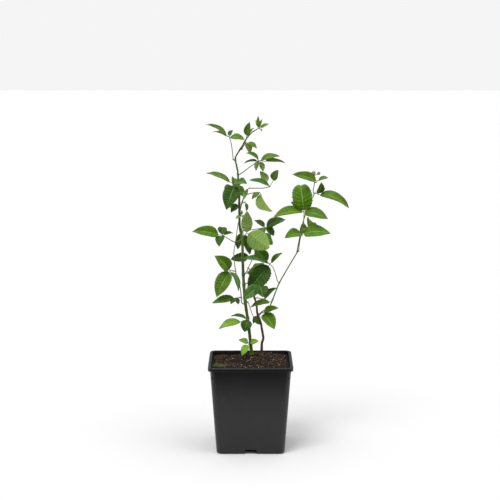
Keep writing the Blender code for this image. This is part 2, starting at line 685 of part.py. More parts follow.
def make_buds(limbs, parts):
    """The side shoot's two flower buds on their short stalks, as one body."""
    tip, ahead = limbs["side_shoot"].tip_start()
    root = tip + ahead * 0.001
    buds = tube("flower_buds", [tip, root, root + ahead * 0.0005], [BUD_STALK_RADIUS] * 3,
                parts, 0)
    buds.data.materials.append(make_material("bud"))
    pieces = []
    for number, (offset, radius) in enumerate(BUDS):
        centre = root + Vector(offset)
        pieces.append(tube("bud_stalk_%d" % number, [root - ahead * 0.0003, centre],
                           [BUD_STALK_RADIUS] * 2, parts, 0))
        bm = bmesh.new()
        bmesh.ops.create_icosphere(bm, subdivisions=1, radius=radius)
        bmesh.ops.translate(bm, verts=bm.verts, vec=centre)
        pieces.append(add_object("bud_%d" % number, bm, parts))
    fuse(buds, pieces)


def make_canes(limbs, parts):
    """The limbs' own solids; the old cane also carries a dead spur at its tip."""
    green = make_material("green_cane")
    bark = make_material("old_cane_bark")
    for limb in limbs.values():
        cane = tube(limb.name, limb.path, limb.radii, parts, LIMB_SIDES)
        cane.data.materials.append(bark if limb.name == "old_cane" else green)
        cane.data.shade_smooth()
        if limb.name == "old_cane":
            fork = limb.path[-2]
            radius = limb.radii[-2]
            root = fork - step_along(radius, *DEAD_SPUR[1:])
            spur = tube("dead_spur", [root, fork + step_along(*DEAD_SPUR)],
                        [0.8 * radius, 0.7 * radius], parts, LIMB_SIDES)
            fuse(cane, [spur])


def main():
    """Build the plant and its pot."""
    clear_scene()
    parts = new_collection("potted_bramble")
    cutters = new_collection("cutters")
    make_pot(parts, cutters)
    make_compost(parts, cutters)
    limbs = make_limbs()
    make_canes(limbs, parts)
    leaf_material = make_material("leaf")
    for row in LEAVES:
        make_leaf(row, limbs, parts, leaf_material)
    make_buds(limbs, parts)


main()
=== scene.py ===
"""The looks of a young thornless bramble in its square nursery pot.

The canes, petioles and leaflets follow the same rule and the same named sizes as the solids.
Here they are carried to finer shapes: pleated, toothed leaflets with their veins, canes with
swollen nodes and stipules, and a bed of clods, crumbs, fibres, bark bits and moss.
"""

import json
import math
import random

import bmesh
import bpy
import numpy as np
from mathutils import Matrix, Vector, noise

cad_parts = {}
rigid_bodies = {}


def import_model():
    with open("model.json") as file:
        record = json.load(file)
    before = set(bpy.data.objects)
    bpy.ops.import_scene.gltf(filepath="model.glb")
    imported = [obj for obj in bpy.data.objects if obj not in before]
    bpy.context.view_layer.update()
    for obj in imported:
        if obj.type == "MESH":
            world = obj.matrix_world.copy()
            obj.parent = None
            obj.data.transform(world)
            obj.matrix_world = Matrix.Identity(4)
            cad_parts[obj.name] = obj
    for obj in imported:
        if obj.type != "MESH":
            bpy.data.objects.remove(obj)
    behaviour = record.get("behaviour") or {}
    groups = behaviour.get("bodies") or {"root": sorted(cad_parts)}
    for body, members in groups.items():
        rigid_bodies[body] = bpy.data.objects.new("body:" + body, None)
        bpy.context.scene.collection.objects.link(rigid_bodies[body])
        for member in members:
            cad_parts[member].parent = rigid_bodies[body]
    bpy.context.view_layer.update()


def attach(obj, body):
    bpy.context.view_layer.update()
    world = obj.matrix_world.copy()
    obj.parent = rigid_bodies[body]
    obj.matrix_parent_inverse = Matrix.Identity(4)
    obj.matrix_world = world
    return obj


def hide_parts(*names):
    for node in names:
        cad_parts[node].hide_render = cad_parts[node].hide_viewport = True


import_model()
scene = bpy.context.scene

GAP = 0.0003
VIEWER = Vector((0, -1, 0))
SKYWARD = Vector((0.2, 0, 1))

# The pot: a tapering square with rounded corners, a turned rim and four drain notches.
# FOOT_ROUNDING is (narrower, higher) in foot edges, and cutters run on past the pot by CUT_PAST.
POT_HEIGHT = 0.137
RIM_WIDTH = 0.130
RIM_DROP = 0.0056
RIM_LIP = 0.0012
RIM_SHELF = 0.0002
RIM_CHAMFER = 0.0008
NECK_WIDTH = 0.1235
NECK_EASE = 0.0004
MOUTH_EASE = 0.0006
FOOT_WIDTH = 0.105
FOOT_EDGE = 0.003
FOOT_ROUNDING = ((2, 0), (0.6, 0.3), (0, 1))
POT_CORNER = 0.0075
POT_WALL = 0.0014
CORNER_STEPS = 14
EDGE_SOFTNESS = 0.00035
EDGE_ANGLE = 40
SHARP_ANGLE = 35
NOTCH_FOOT_WIDTH = 0.021
NOTCH_TOP_WIDTH = 0.017
NOTCH_HEIGHT = 0.007
NOTCH_DEPTH = 0.020
DRAIN_RADIUS = 0.003
DRAIN_SIDES = 12
CUT_PAST = 0.010

# The compost: a rough bed with a low mound that the canes stand on
GROUND = 0.139
BED_LEVEL = 0.1315
MOUND_CENTRE = (0.011, 0.021)
MOUND_FLAT = 0.015
MOUND_REACH = 0.040

# Limbs: internodes are (length, lean to the right, lean to the viewer), angles in degrees,
# radii are at foot and tip, and a height is where a limb springs from its carrier
MAIN_FOOT = (0.0015, 0.024)
MAIN_INTERNODES = [
    (0.040, -6, 0), (0.048, -7.5, 1), (0.048, -3.5, 1), (0.047, -1.5, 0), (0.020, -11, 2),
    (0.038, -1, 0), (0.034, -2.5, 1), (0.013, -4, 0), (0.019, -11, -4), (0.006, 17, 0),
    (0.018, 32, 4), (0.011, 29, 6), (0.013, 40, 2), (0.008, 56, 0),
]
MAIN_RADII = (0.0025, 0.0008)
OLD_FOOT = (0.0175, 0.018)
OLD_INTERNODES = [
    (0.017, 1, 0), (0.007, 18, 0), (0.025, -9, -2), (0.007, -18, 0), (0.011, -19, 2),
    (0.013, -5, 0), (0.018, -17, -3), (0.032, -10, -6), (0.005, 9, 0), (0.006, -43, 6),
]
OLD_RADII = (0.0020, 0.0007)
SHOOT_HEIGHT = 0.066
SHOOT_INTERNODES = [
    (0.006, 48, 16), (0.013, 55, 8), (0.028, 22, 4), (0.013, 22, 0), (0.032, 29, 2),
    (0.024, 30, 2), (0.006, 8, 0), (0.036, 11, 3), (0.021, 14, 0), (0.007, -4, 0),
    (0.025, 32, 2), (0.007, -10, 0), (0.014, 10, 3), (0.008, -6, 0),
]
SHOOT_RADII = (0.0010, 0.0006)
PALE_HEIGHT = 0.082
PALE_INTERNODES = [
    (0.006, -46, 40), (0.024, -5, 14), (0.027, -15, 4), (0.030, -6, 0), (0.015, 9, 0),
    (0.033, 8, 2), (0.009, 15, 4),
]
PALE_RADII = (0.0008, 0.0005)
TWIG_HEIGHT = 0.228
TWIG_INTERNODES = [
    (0.010, 10, 30), (0.008, 17, 16), (0.009, 15, 4), (0.009, 20, 0), (0.004, 53, 0),
]
TWIG_RADII = (0.0010, 0.0006)
DEAD_SPUR = (0.0055, 36, -10)
SPUR_TAPER = ((0.0, 0.8), (0.6, 0.75), (1.0, 0.5))
TAPER = 1.8
FLARE_HEIGHT = 0.008
FLARE_GAIN = 0.45
FOOT_RISE = 0.003
SPRING_RISE = 0.0015
LIMB_STEP = 0.012

# Leaves: arches and folds are in degrees, and the rest in metres or as shares of a length
BLADE_OUTLINE = (3.10, 0.65, 1.05)
ARCHES = (30, 60)
FOLDS = (12, 26)
MIDLINE = (0.3, 0.5, 0.7, 0.9, 1.0)
ARRIVAL = 0.6
PETIOLE_RADIUS = 0.00065
PETIOLE_TAPER = (1.25, 0.45)
PETIOLE_ROOT = 0.0012
PETIOLE_BEND = 0.0025
PETIOLE_PULL = (0.35, 0.30)
PETIOLE_SHORT = 0.010
STALK_WIDTH = 0.0009
STALK_ROOT = 0.0004
STALK_OVERLAP = 0.12
LIMB_CLEARANCE = 0.0012

# Each leaf: (name, limb, height of its node above the compost, junction, leaflets).
# The junction is where the petiole ends, as (right, back, above the compost).
# Each leaflet: (heading in the picture's plane, lean to the viewer, reach, stalk, width, turn),
# where turn is 0 with the upper side to the viewer, 90 with it to the sky and 180 turned away.
# A leaflet that departs from the rule adds its own arch and fold.
LEAVES = [
    ("leaf_top_left", "main_cane", 0.307, (-0.033, 0.018, 0.343), [
        (151, 10, 0.041, 0.005, 0.013, 58), (166, -30, 0.031, 0.005, 0.010, 70),
        (63, -45, 0.016, 0.002, 0.009, 40), (-9, 25, 0.027, 0.002, 0.015, 50)]),
    ("leaf_top_upright", "main_cane", 0.334, (-0.006, 0.013, 0.344), [
        (78, 15, 0.024, 0.001, 0.013, 30), (47, -30, 0.020, 0.005, 0.009, 65)]),
    ("leaf_top_small", "main_cane", 0.324, (-0.006, 0.008, 0.335), [
        (-29, 20, 0.019, 0.002, 0.012, 50), (-76, -25, 0.020, 0.002, 0.013, 150)]),
    ("leaf_upper_right", "main_cane", 0.285, (0.013, 0.008, 0.307), [
        (13, 10, 0.033, 0.003, 0.015, 55), (-6, -15, 0.043, 0.010, 0.013, 65),
        (148, 20, 0.025, 0.002, 0.013, 60), (-169, -10, 0.025, 0.003, 0.010, 70),
        (-108, 30, 0.018, 0.002, 0.012, 130), (-70, 10, 0.018, 0.002, 0.012, 140)]),
    ("leaf_upper_left", "main_cane", 0.262, (-0.024, 0.011, 0.271), [
        (158, 10, 0.048, 0.009, 0.018, 65), (8, 50, 0.029, 0.002, 0.019, 62),
        (-109, 20, 0.043, 0.003, 0.028, 12)]),
    ("leaf_upper_small", "main_cane", 0.240, (-0.018, 0.015, 0.239), [
        (-156, -10, 0.016, 0.002, 0.009, 70), (-137, 25, 0.019, 0.002, 0.012, 40)]),
    ("leaf_twig_low", "axillary_twig", 0.243, (-0.008, 0.007, 0.244), [
        (-84, 10, 0.015, 0.002, 0.008, 45)]),
    ("leaf_young_tip", "pale_shoot", None, (-0.0150, 0.0060, 0.223), [
        (-150, 20, 0.010, 0.001, 0.006, 40), (-35, 30, 0.011, 0.001, 0.006, 40),
        (80, 10, 0.009, 0.001, 0.005, 30)]),
    ("leaf_twig_upper", "axillary_twig", None, (0.030, 0.012, 0.267), [
        (64, 5, 0.029, 0.011, 0.015, 35), (124, -15, 0.029, 0.009, 0.014, 160),
        (162, 20, 0.037, 0.002, 0.015, 62)]),
    ("leaf_twig_hanging", "axillary_twig", 0.256, (0.014, 0.002, 0.259), [
        (-55, 20, 0.036, 0.003, 0.030, -115, 30, 50), (-140, 10, 0.016, 0.001, 0.011, 50)]),
    ("leaf_twig_small", "axillary_twig", 0.260, (-0.004, 0.000, 0.264), [
        (-113, 15, 0.017, 0.001, 0.009, 150)]),
    ("leaf_shoot_tip_left", "side_shoot", 0.274, (0.102, 0.001, 0.277), [
        (165, 15, 0.042, 0.002, 0.019, 40), (16, 20, 0.019, 0.002, 0.010, 55)]),
    ("leaf_shoot_tip_right", "side_shoot", 0.257, (0.104, 0.003, 0.256), [
        (-24, 10, 0.052, 0.003, 0.020, 45, 85, 20), (79, 25, 0.022, 0.002, 0.015, 30)]),
    ("leaf_shoot_upper", "side_shoot", 0.210, (0.082, 0.003, 0.229), [
        (97, -30, 0.045, 0.003, 0.038, 0, 110, 30), (-171, 20, 0.052, 0.003, 0.022, 50),
        (-14, 30, 0.043, 0.002, 0.022, 38), (144, -12, 0.026, 0.003, 0.013, 40)]),
    ("leaf_shoot_middle", "side_shoot", 0.166, (0.080, 0.001, 0.196), [
        (2, 20, 0.045, 0.002, 0.024, 40), (-170, 35, 0.035, 0.002, 0.022, 50)]),
    ("leaf_far_left", "pale_shoot", 0.181, (-0.044, 0.008, 0.192), [
        (171, 15, 0.048, 0.006, 0.022, 38), (93, -60, 0.021, 0.002, 0.017, 10),
        (-105, 45, 0.023, 0.002, 0.017, 25), (6, -30, 0.020, 0.003, 0.009, 60)]),
    ("leaf_pale_centre", "pale_shoot", 0.182, (-0.006, -0.002, 0.197), [
        (89, 14, 0.036, 0.001, 0.019, 180, 15, 10), (-31, 25, 0.045, 0.003, 0.036, 188)]),
    ("leaf_behind_centre", "main_cane", 0.196, (0.023, 0.034, 0.201), [
        (22, 10, 0.035, 0.002, 0.020, 50), (149, -20, 0.021, 0.002, 0.012, 50),
        (-44, -20, 0.021, 0.002, 0.015, 40)]),
    ("leaf_behind_cane", "main_cane", 0.200, (-0.013, 0.036, 0.196), [
        (-103, -10, 0.032, 0.005, 0.013, 20), (-73, -15, 0.043, 0.008, 0.015, 20)]),
    ("leaf_middle_left", "main_cane", 0.150, (-0.001, 0.032, 0.155), [
        (-171, -8, 0.031, 0.002, 0.016, 20), (-150, -50, 0.024, 0.003, 0.015, 40)]),
    ("leaf_middle_large", "side_shoot", 0.117, (0.030, 0.009, 0.147), [
        (-129, -6, 0.054, 0.004, 0.035, 5), (165, 25, 0.048, 0.003, 0.020, 65),
        (139, -15, 0.034, 0.006, 0.022, 30), (43, 10, 0.027, 0.003, 0.012, 55)]),
    ("leaf_inner_front", "main_cane", 0.090, (0.013, -0.018, 0.118), [
        (-139, 15, 0.033, 0.002, 0.021, 20), (-70, 45, 0.024, 0.002, 0.025, 25)]),
    ("leaf_left_large", "pale_shoot", 0.136, (-0.032, 0.004, 0.138), [
        (-117, 15, 0.047, 0.003, 0.028, 22), (134, 20, 0.036, 0.002, 0.024, 30),
        (-65, 40, 0.041, 0.003, 0.016, 60)]),
    ("leaf_lower_left_small", "pale_shoot", 0.094, (-0.023, 0.006, 0.094), [
        (-169, 10, 0.038, 0.003, 0.016, 40), (-137, 50, 0.017, 0.002, 0.010, 30),
        (-65, 40, 0.013, 0.001, 0.009, 30)]),
    ("leaf_inner_right", "old_cane", 0.091, (0.021, 0.015, 0.091), [
        (45, 22, 0.030, 0.001, 0.013, 50)]),
    ("leaf_shoot_low", "side_shoot", 0.089, (0.033, -0.007, 0.091), [
        (-168, 20, 0.036, 0.004, 0.015, 60)]),
    ("leaf_lower_right", "old_cane", 0.064, (0.019, 0.005, 0.071), [
        (-52, 30, 0.034, 0.003, 0.025, 30), (20, 20, 0.028, 0.002, 0.014, 50)]),
    ("leaf_lower_inner", "main_cane", 0.084, (0.004, 0.030, 0.061), [
        (-51, -15, 0.020, 0.002, 0.013, 30), (-84, -40, 0.018, 0.003, 0.011, 40)]),
    ("leaf_lower_left", "main_cane", 0.058, (-0.004, 0.013, 0.059), [
        (-164, 15, 0.049, 0.013, 0.020, 60), (172, -10, 0.028, 0.004, 0.014, 75),
        (-106, 20, 0.021, 0.002, 0.020, 10)]),
    ("leaf_base", "main_cane", 0.018, (-0.002, 0.012, 0.021), [
        (162, 10, 0.018, 0.002, 0.011, 45), (15, 15, 0.016, 0.002, 0.011, 45),
        (-125, 40, 0.026, 0.005, 0.014, 30)]),
    ("leaf_rear_low", "main_cane", 0.112, (0.010, 0.048, 0.124), [
        (60, -62, 0.034, 0.003, 0.021, 40), (-40, -58, 0.032, 0.003, 0.020, 40),
        (170, -66, 0.030, 0.003, 0.019, 40)]),
    ("leaf_rear_middle", "main_cane", 0.128, (0.016, 0.050, 0.180), [
        (70, -60, 0.032, 0.003, 0.021, 40), (-20, -56, 0.036, 0.003, 0.022, 40),
        (-160, -66, 0.030, 0.003, 0.019, 40)]),
    ("leaf_rear_high", "main_cane", 0.250, (-0.026, 0.044, 0.262), [
        (95, -66, 0.032, 0.003, 0.020, 40), (-38, -40, 0.028, 0.003, 0.018, 40),
        (-140, -60, 0.034, 0.003, 0.020, 40)]),
    ("leaf_rear_right", "side_shoot", 0.200, (0.090, 0.034, 0.200), [
        (80, -66, 0.030, 0.003, 0.019, 40), (-20, -56, 0.034, 0.003, 0.020, 40),
        (-150, -60, 0.028, 0.003, 0.018, 40)]),
    ("leaf_tip_tuft", "main_cane", None, (0.0130, 0.0195, 0.356), [
        (112, -20, 0.015, 0.002, 0.006, 20), (94, 10, 0.020, 0.002, 0.0065, -15),
        (70, 25, 0.017, 0.002, 0.006, 30), (24, 0, 0.017, 0.003, 0.0065, 35),
        (-45, 50, 0.010, 0.001, 0.005, 60)]),
]

# The two flower buds at the side shoot's tip: (offset from the tip, radius). Their down is
# (size, depth), and it and the ridges are shares of the radius.
BUDS = [((-0.001, -0.001, 0.0035), 0.0030), ((0.0065, -0.003, 0.0035), 0.0024)]
BUD_STALK_RADIUS = 0.0006
BUD_STALK_STEP = 0.001
BUD_ROOT = 0.001
BUD_SEAT = 0.8
BUD_RINGS = 14
BUD_SIDES = 25
BUD_POINT = 1.25
SEPALS = 5
SEPAL_RIDGE = 0.10
BUD_DOWN = (0.25, 0.05)
POLE_MERGE = 0.00001

# Fine leaf surface. Each row between two side veins has its share of the full width, which
# gives the teeth, and each column its place across; pleats and waves are shares of the width.
VEIN_SPACING = 0.0042
VEINS = (4, 10)
ROWS_PER_VEIN = 4
TOOTH_SHARE = (1.0, 0.90, 0.965, 0.885)
TOOTH_MIDDLE = 0.9
TOOTH_FORWARD = 0.35
EDGE_POWER = 6
ACROSS = (0.0, 0.045, 0.26, 0.50, 0.75, 1.0)
VEIN_SWEEP = 0.13
PLEAT = 0.030
PLEAT_REACH = 1.15
WAVE = 0.035
WAVES = (1.5, 2.6)
LEAF_THICKNESS = 0.00030
STIPULE_LENGTH = 0.0045
STIPULE_RADII = (0.00028, 0.00022, 0.00006)
STIPULE_SPREAD = 0.8
STIPULE_RISE = 0.7
STIPULE_CURL = 0.001
VEIN_EDGE = (0.03, 0.13)
AREOLE = 0.0012
AREOLE_RELIEF = 0.00012
PALE_VEIN = "c3d3a0"

# Canes: swellings at the nodes, the bark's relief, and each limb's finish and slot
NODE_SWELLING = 0.32
NODE_SPREAD = 0.0022
SWEEP_STEP = 0.0016
PETIOLE_STEP = 0.002
CANE_SIDES = 16
PETIOLE_SIDES = 8
RELIEF_SIZE = 0.0025
RELIEF_SHARE = 0.22
CANE_LOOKS = {
    "main_cane": ("cane", "green_cane"), "old_cane": ("bark", "old_cane_bark"),
    "side_shoot": ("cane", "green_cane"), "pale_shoot": ("petiole", "green_cane"),
    "axillary_twig": ("ripe_cane", "green_cane"),
}

# The bed: a fine heightfield of clods and ridges, calmer on the mound
BED_SPACING = 0.0009
BED_DEPTH = 0.012
BED_DROP = 0.0006
CLOD_SIZE = 0.0045
CLOD_HEIGHT = 0.0016
CLOD_FRACTAL = (0.9, 2.1, 5)
CLOD_SINK = 0.2
RIDGE_SIZE = 2.4
RIDGE_GAIN = 1.2
RIDGE_PLANE = 0.3
MOUND_ROUGHNESS = 0.35

# Loose stuff on the bed. Chips are (name, count, mean radius, flatness, finish, patch), where a
# patch is (right, back, reach) and is shallower from front to back.
CRUMB_DENSITY = 480000
CRUMB_RADII = (0.00025, 0.0011)
CRUMB_SEED = 4
CRUMB_CELLS = 60
CRUMB_MARGIN = 0.002
LUMP_RADII = (0.65, 1.15)
FIBRES = 420
FIBRE_REACH = 0.95
FIBRE_MARGIN = 0.0015
FIBRE_RADII = (0.00012, 0.00018, 0.00028)
FIBRE_SIDES = 4
FIBRE_STEP = 0.0016
FIBRE_STEPS = (4, 9)
FIBRE_BEND = 0.5
FIBRE_CURL = 0.4
FIBRE_LIFT = (0.0003, 0.0009)
CHIPS = [
    ("bark_bits", 70, 0.0011, 0.45, "bark_chip", None),
    ("pale_grit", 46, 0.0006, 0.8, "grit", None),
    ("moss_tufts", 420, 0.0006, 1.1, "moss", (-0.048, -0.020, 0.011)),
]
PATCH_DEPTH = 0.6
CHIP_MARGIN = 0.003
CHIP_SIZES = (0.5, 1.5)
CHIP_LENGTHS = (1.0, 2.0)
CHIP_JITTER = (0.75, 1.2)
CHIP_TILT = 0.5
CHIP_LIFT = 0.0003

# The studio: a floor that ends short of the camera, air that glows above a level, two wide
# soft lights, each (name, strength, spread in degrees, where it stands), and the camera
FLOOR_REACH = 30.0
FLOOR_FRONT = -0.30
FLOOR_DROP = 0.0002
BACKDROP = "f5f5f5"
AIR_STRENGTH = 0.80
AIR_BELOW = 0.02
AIR_LEVELS = (0.05, 0.60)
STUDIO_SUNS = [("key_light", 1.35, 30, (-0.45, -0.75, 1.2)),
               ("side_light", 0.45, 50, (0.9, -0.5, 0.9))]
CAMERA_PLACE = (-0.0009, -1.986, 0.590)
CAMERA_DOWN = 8.05
CAMERA_LENS = 93.7
CAMERA_SENSOR = 36.0

# The tones of the leaves that aren't all mid green, one for each leaflet in turn; the last
# one holds for the rest. Leaflets that lie in shade take a darker tone of painted shade.
# Leaflets that catch the sky's reflection take a blue-green tone of painted sky sheen.
LEAF_TONES = {
    "leaf_top_left": ("mid", "dark", "dark", "mid"),
    "leaf_top_small": ("mid", "young"),
    "leaf_upper_right": ("mid", "dark", "mid", "dark", "mid"),
    "leaf_upper_left": ("mid", "bluish", "dark"),
    "leaf_upper_small": ("dark",),
    "leaf_young_tip": ("young",),
    "leaf_twig_upper": ("mid", "young", "bluish"),
    "leaf_shoot_upper": ("fresh", "fresh", "mid", "dark"),
    "leaf_shoot_middle": ("fresh", "mid"),
    "leaf_far_left": ("mid", "dark"),
    "leaf_behind_centre": ("dark",),
    "leaf_behind_cane": ("dark",),
    "leaf_middle_left": ("dark",),
    "leaf_middle_large": ("dark", "bluish", "mid", "mid"),
    "leaf_inner_front": ("bluish", "dark"),
    "leaf_left_large": ("mid", "mid", "bluish"),
    "leaf_lower_left_small": ("mid", "dark"),
    "leaf_inner_right": ("dark",),
    "leaf_lower_right": ("fresh", "mid"),
    "leaf_lower_inner": ("dark",),
    "leaf_lower_left": ("young", "mid", "dark"),
    "leaf_base": ("young",),
    "leaf_tip_tuft": ("young",),
}

# Each tone's colours: blade, its shaded parts, blade below and veins
TONES = {
    "mid": ("638f14", "4a7408", "93b75c", "7fa63a"),
    "fresh": ("6b9a10", "4f800a", "9dbf5e", "8fb440"),
    # Painted shade: a darker copy of the mid leaf, for leaflets that lie in shade
    "dark": ("3f6a0c", "2c5206", "769a48", "5c8526"),
    # Painted sky sheen: a blue-green copy of the leaf that stands in for the sky's reflection
    "bluish": ("578836", "3f6c26", "88a964", "789e54"),
    "young": ("8cb82e", "6e9c1c", "acca6a", "a2c650"),
}

# Skins of a blade: (roughness, specular level, vein strength, mottling size, vein relief)
UPPER_SKIN = (0.48, 0.28, 0.45, 0.007, -0.0003)
LOWER_SKIN = (0.75, 0.30, 0.55, 0.004, 0.0003)

# Mottling: a noise's detail, its roughness and the span of its values that the colours share
# out, and how much slower a cane's pattern changes upwards than across
NOISE_DETAIL = 4.0
NOISE_ROUGHNESS = 0.6
NOISE_SPREAD = (0.35, 0.65)
CANE_SPREAD = (0.36, 0.68)
CANE_STREAK = 0.12
BARK_STREAK = 0.15


def add_object(name, data, collection=None):
    """Put an object for a mesh, curve, light or camera into the scene or a collection."""
    item = bpy.data.objects.new(name, data)
    home = scene.collection if collection is None else collection
    home.objects.link(item)
    return item


def add_bmesh(name, bm, collection=None):
    """Turn a bmesh into an object of its own."""
    mesh = bpy.data.meshes.new(name)
    bm.to_mesh(mesh)
    bm.free()
    return add_object(name, mesh, collection)


def evaluated_mesh(item):
    """A plain copy of an object's mesh, with its modifiers applied."""
    graph = bpy.context.evaluated_depsgraph_get()
    graph.update()
    return bpy.data.meshes.new_from_object(item.evaluated_get(graph))


def bake(item):
    """Replace an object's mesh by its evaluated one and drop its modifiers."""
    mesh = evaluated_mesh(item)
    item.modifiers.clear()
    item.data = mesh


def cut(item, cutter):
    """Take a cutter's shape out of an object, by an exact Boolean modifier."""
    modifier = item.modifiers.new("cut", "BOOLEAN")
    modifier.operation = "DIFFERENCE"
    modifier.solver = "EXACT"
    modifier.object = cutter


def rounded_square(bm, width, corner, height):
    """A flat square face with rounded corners at the given height."""
    half = width / 2
    corners = [(-half, -half), (half, -half), (half, half), (-half, half)]
    verts = [bm.verts.new((x, y, height)) for x, y in corners]
    bm.faces.new(verts)
    bmesh.ops.bevel(
        bm, geom=verts, offset=corner, offset_type="OFFSET", segments=CORNER_STEPS,
        profile=0.5, affect="VERTICES")
    bm.faces.ensure_lookup_table()
    return bm.faces[0]


def tapered_block(profile, corner):
    """A closed block through rounded squares, from (width, height) pairs upwards."""
    bm = bmesh.new()
    foot = face = rounded_square(bm, profile[0][0], corner, profile[0][1])
    for (width, _), (next_width, next_height) in zip(profile, profile[1:]):
        grown = bmesh.ops.extrude_face_region(bm, geom=[face])
        if face is not foot:
            bmesh.ops.delete(bm, geom=[face], context="FACES_ONLY")
        ring = [part for part in grown["geom"] if isinstance(part, bmesh.types.BMVert)]
        face = next(part for part in grown["geom"] if isinstance(part, bmesh.types.BMFace))
        scale = next_width / width
        for vert in ring:
            vert.co = Vector((vert.co.x * scale, vert.co.y * scale, next_height))
    bmesh.ops.recalc_face_normals(bm, faces=bm.faces)
    return bm


def widths_at(offset):
    """The pot's (width, height) profile up to its rim, moved outwards by an offset."""
    foot = [(FOOT_WIDTH - inward * FOOT_EDGE + 2 * offset, up * FOOT_EDGE - offset)
            for inward, up in FOOT_ROUNDING]
    return foot + [(NECK_WIDTH + 2 * offset, POT_HEIGHT - RIM_DROP)]


def quarter_turned(x, y, quarter):
    """A place on the pot's front, turned to one of its four sides."""
    turn = math.radians(90 * quarter)
    return (x * math.cos(turn) - y * math.sin(turn),
            x * math.sin(turn) + y * math.cos(turn))


def notch_bars(grow, cutters):
    """Four trapezoid bars, one across the middle of each bottom edge, as one mesh."""
    bm = bmesh.new()
    foot = NOTCH_FOOT_WIDTH / 2 + grow
    top = NOTCH_TOP_WIDTH / 2 + grow
    roof = NOTCH_HEIGHT + grow
    spread = foot + (foot - top) * CUT_PAST / roof
    inner_end = -(FOOT_WIDTH / 2 - NOTCH_DEPTH - grow)
    for quarter in range(4):
        for vert in bmesh.ops.create_cube(bm, size=1.0)["verts"]:
            half = top if vert.co.z > 0 else spread
            x = half if vert.co.x > 0 else -half
            y = -FOOT_WIDTH if vert.co.y < 0 else inner_end
            z = roof if vert.co.z > 0 else -CUT_PAST
            vert.co = Vector((*quarter_turned(x, y, quarter), z))
    bmesh.ops.recalc_face_normals(bm, faces=bm.faces)
    return add_bmesh("notches", bm, cutters)


def pot_hollow(cutters):
    """The space inside the pot, less a cover over each notch."""
    mouth = (NECK_WIDTH - 2 * POT_WALL + MOUTH_EASE, POT_HEIGHT + CUT_PAST)
    block = tapered_block(widths_at(-POT_WALL) + [mouth], POT_CORNER - POT_WALL)
    hollow = add_bmesh("hollow", block, cutters)
    cut(hollow, notch_bars(POT_WALL, cutters))
    bake(hollow)
    return hollow


def rim_groove(cutters):
    """The space behind the turned rim, open at its lower side."""
    wide = RIM_WIDTH - 2 * RIM_LIP
    outer = tapered_block([(wide, POT_HEIGHT - 2 * RIM_DROP), (wide, POT_HEIGHT - RIM_LIP)],
                          POT_CORNER - RIM_LIP)
    core = tapered_block([(NECK_WIDTH - 2 * NECK_EASE, POT_HEIGHT - 3 * RIM_DROP),
                          (NECK_WIDTH + NECK_EASE, POT_HEIGHT)], POT_CORNER)
    groove = add_bmesh("rim_groove", outer, cutters)
    cut(groove, add_bmesh("rim_core", core, cutters))
    bake(groove)
    return groove


def drain_holes(cutters):
    """A round hole through the roof of each notch."""
    bm = bmesh.new()
    away = FOOT_WIDTH / 2 - NOTCH_DEPTH / 2
    for quarter in range(4):
        hole = bmesh.ops.create_cone(
            bm, cap_ends=True, segments=DRAIN_SIDES, radius1=DRAIN_RADIUS,
            radius2=DRAIN_RADIUS, depth=CUT_PAST)["verts"]
        centre = Vector((*quarter_turned(0, -away, quarter), NOTCH_HEIGHT))
        bmesh.ops.translate(bm, verts=hole, vec=centre)
    return add_bmesh("drains", bm, cutters)


def step_along(length, lean, toward):
    """One internode's step: leaning to the right and to the viewer, in degrees."""
    lean, toward = math.radians(lean), math.radians(toward)
    return Vector((
        math.sin(lean) * math.cos(toward), -math.sin(toward),
        math.cos(lean) * math.cos(toward))) * length


def walk(start, internodes):
    """The nodes that a run of internodes passes through."""
    points = [start]
    for length, lean, toward in internodes:
        points.append(points[-1] + step_along(length, lean, toward))
    return points


def smoothed(points, step):
    """Points along a Catmull-Rom curve through the nodes, about a step apart."""
    path = [points[0]]
    for i in range(len(points) - 1):
        before = points[max(i - 1, 0)]
        here, after = points[i], points[i + 1]
        beyond = points[min(i + 2, len(points) - 1)]
        spans = max(1, round((after - here).length / step))
        for k in range(1, spans + 1):
            t = k / spans
            path.append(0.5 * (
                2 * here + (after - before) * t
                + (2 * before - 5 * here + 4 * after - beyond) * t ** 2
                + (3 * here - before - 3 * after + beyond) * t ** 3))
    return path


def tapered_radii(path, foot_radius, tip_radius, flare):
    """A radius for each point: full near the foot, falling faster towards the tip."""
    travelled = [0.0]
    for here, after in zip(path, path[1:]):
        travelled.append(travelled[-1] + (after - here).length)
    radii = []
    for distance in travelled:
        share = distance / travelled[-1]
        radius = tip_radius + (foot_radius - tip_radius) * (1 - share ** TAPER)
        if flare and distance < FLARE_HEIGHT:
            radius *= 1 + FLARE_GAIN * (1 - distance / FLARE_HEIGHT) ** 2
        radii.append(radius)
    return radii


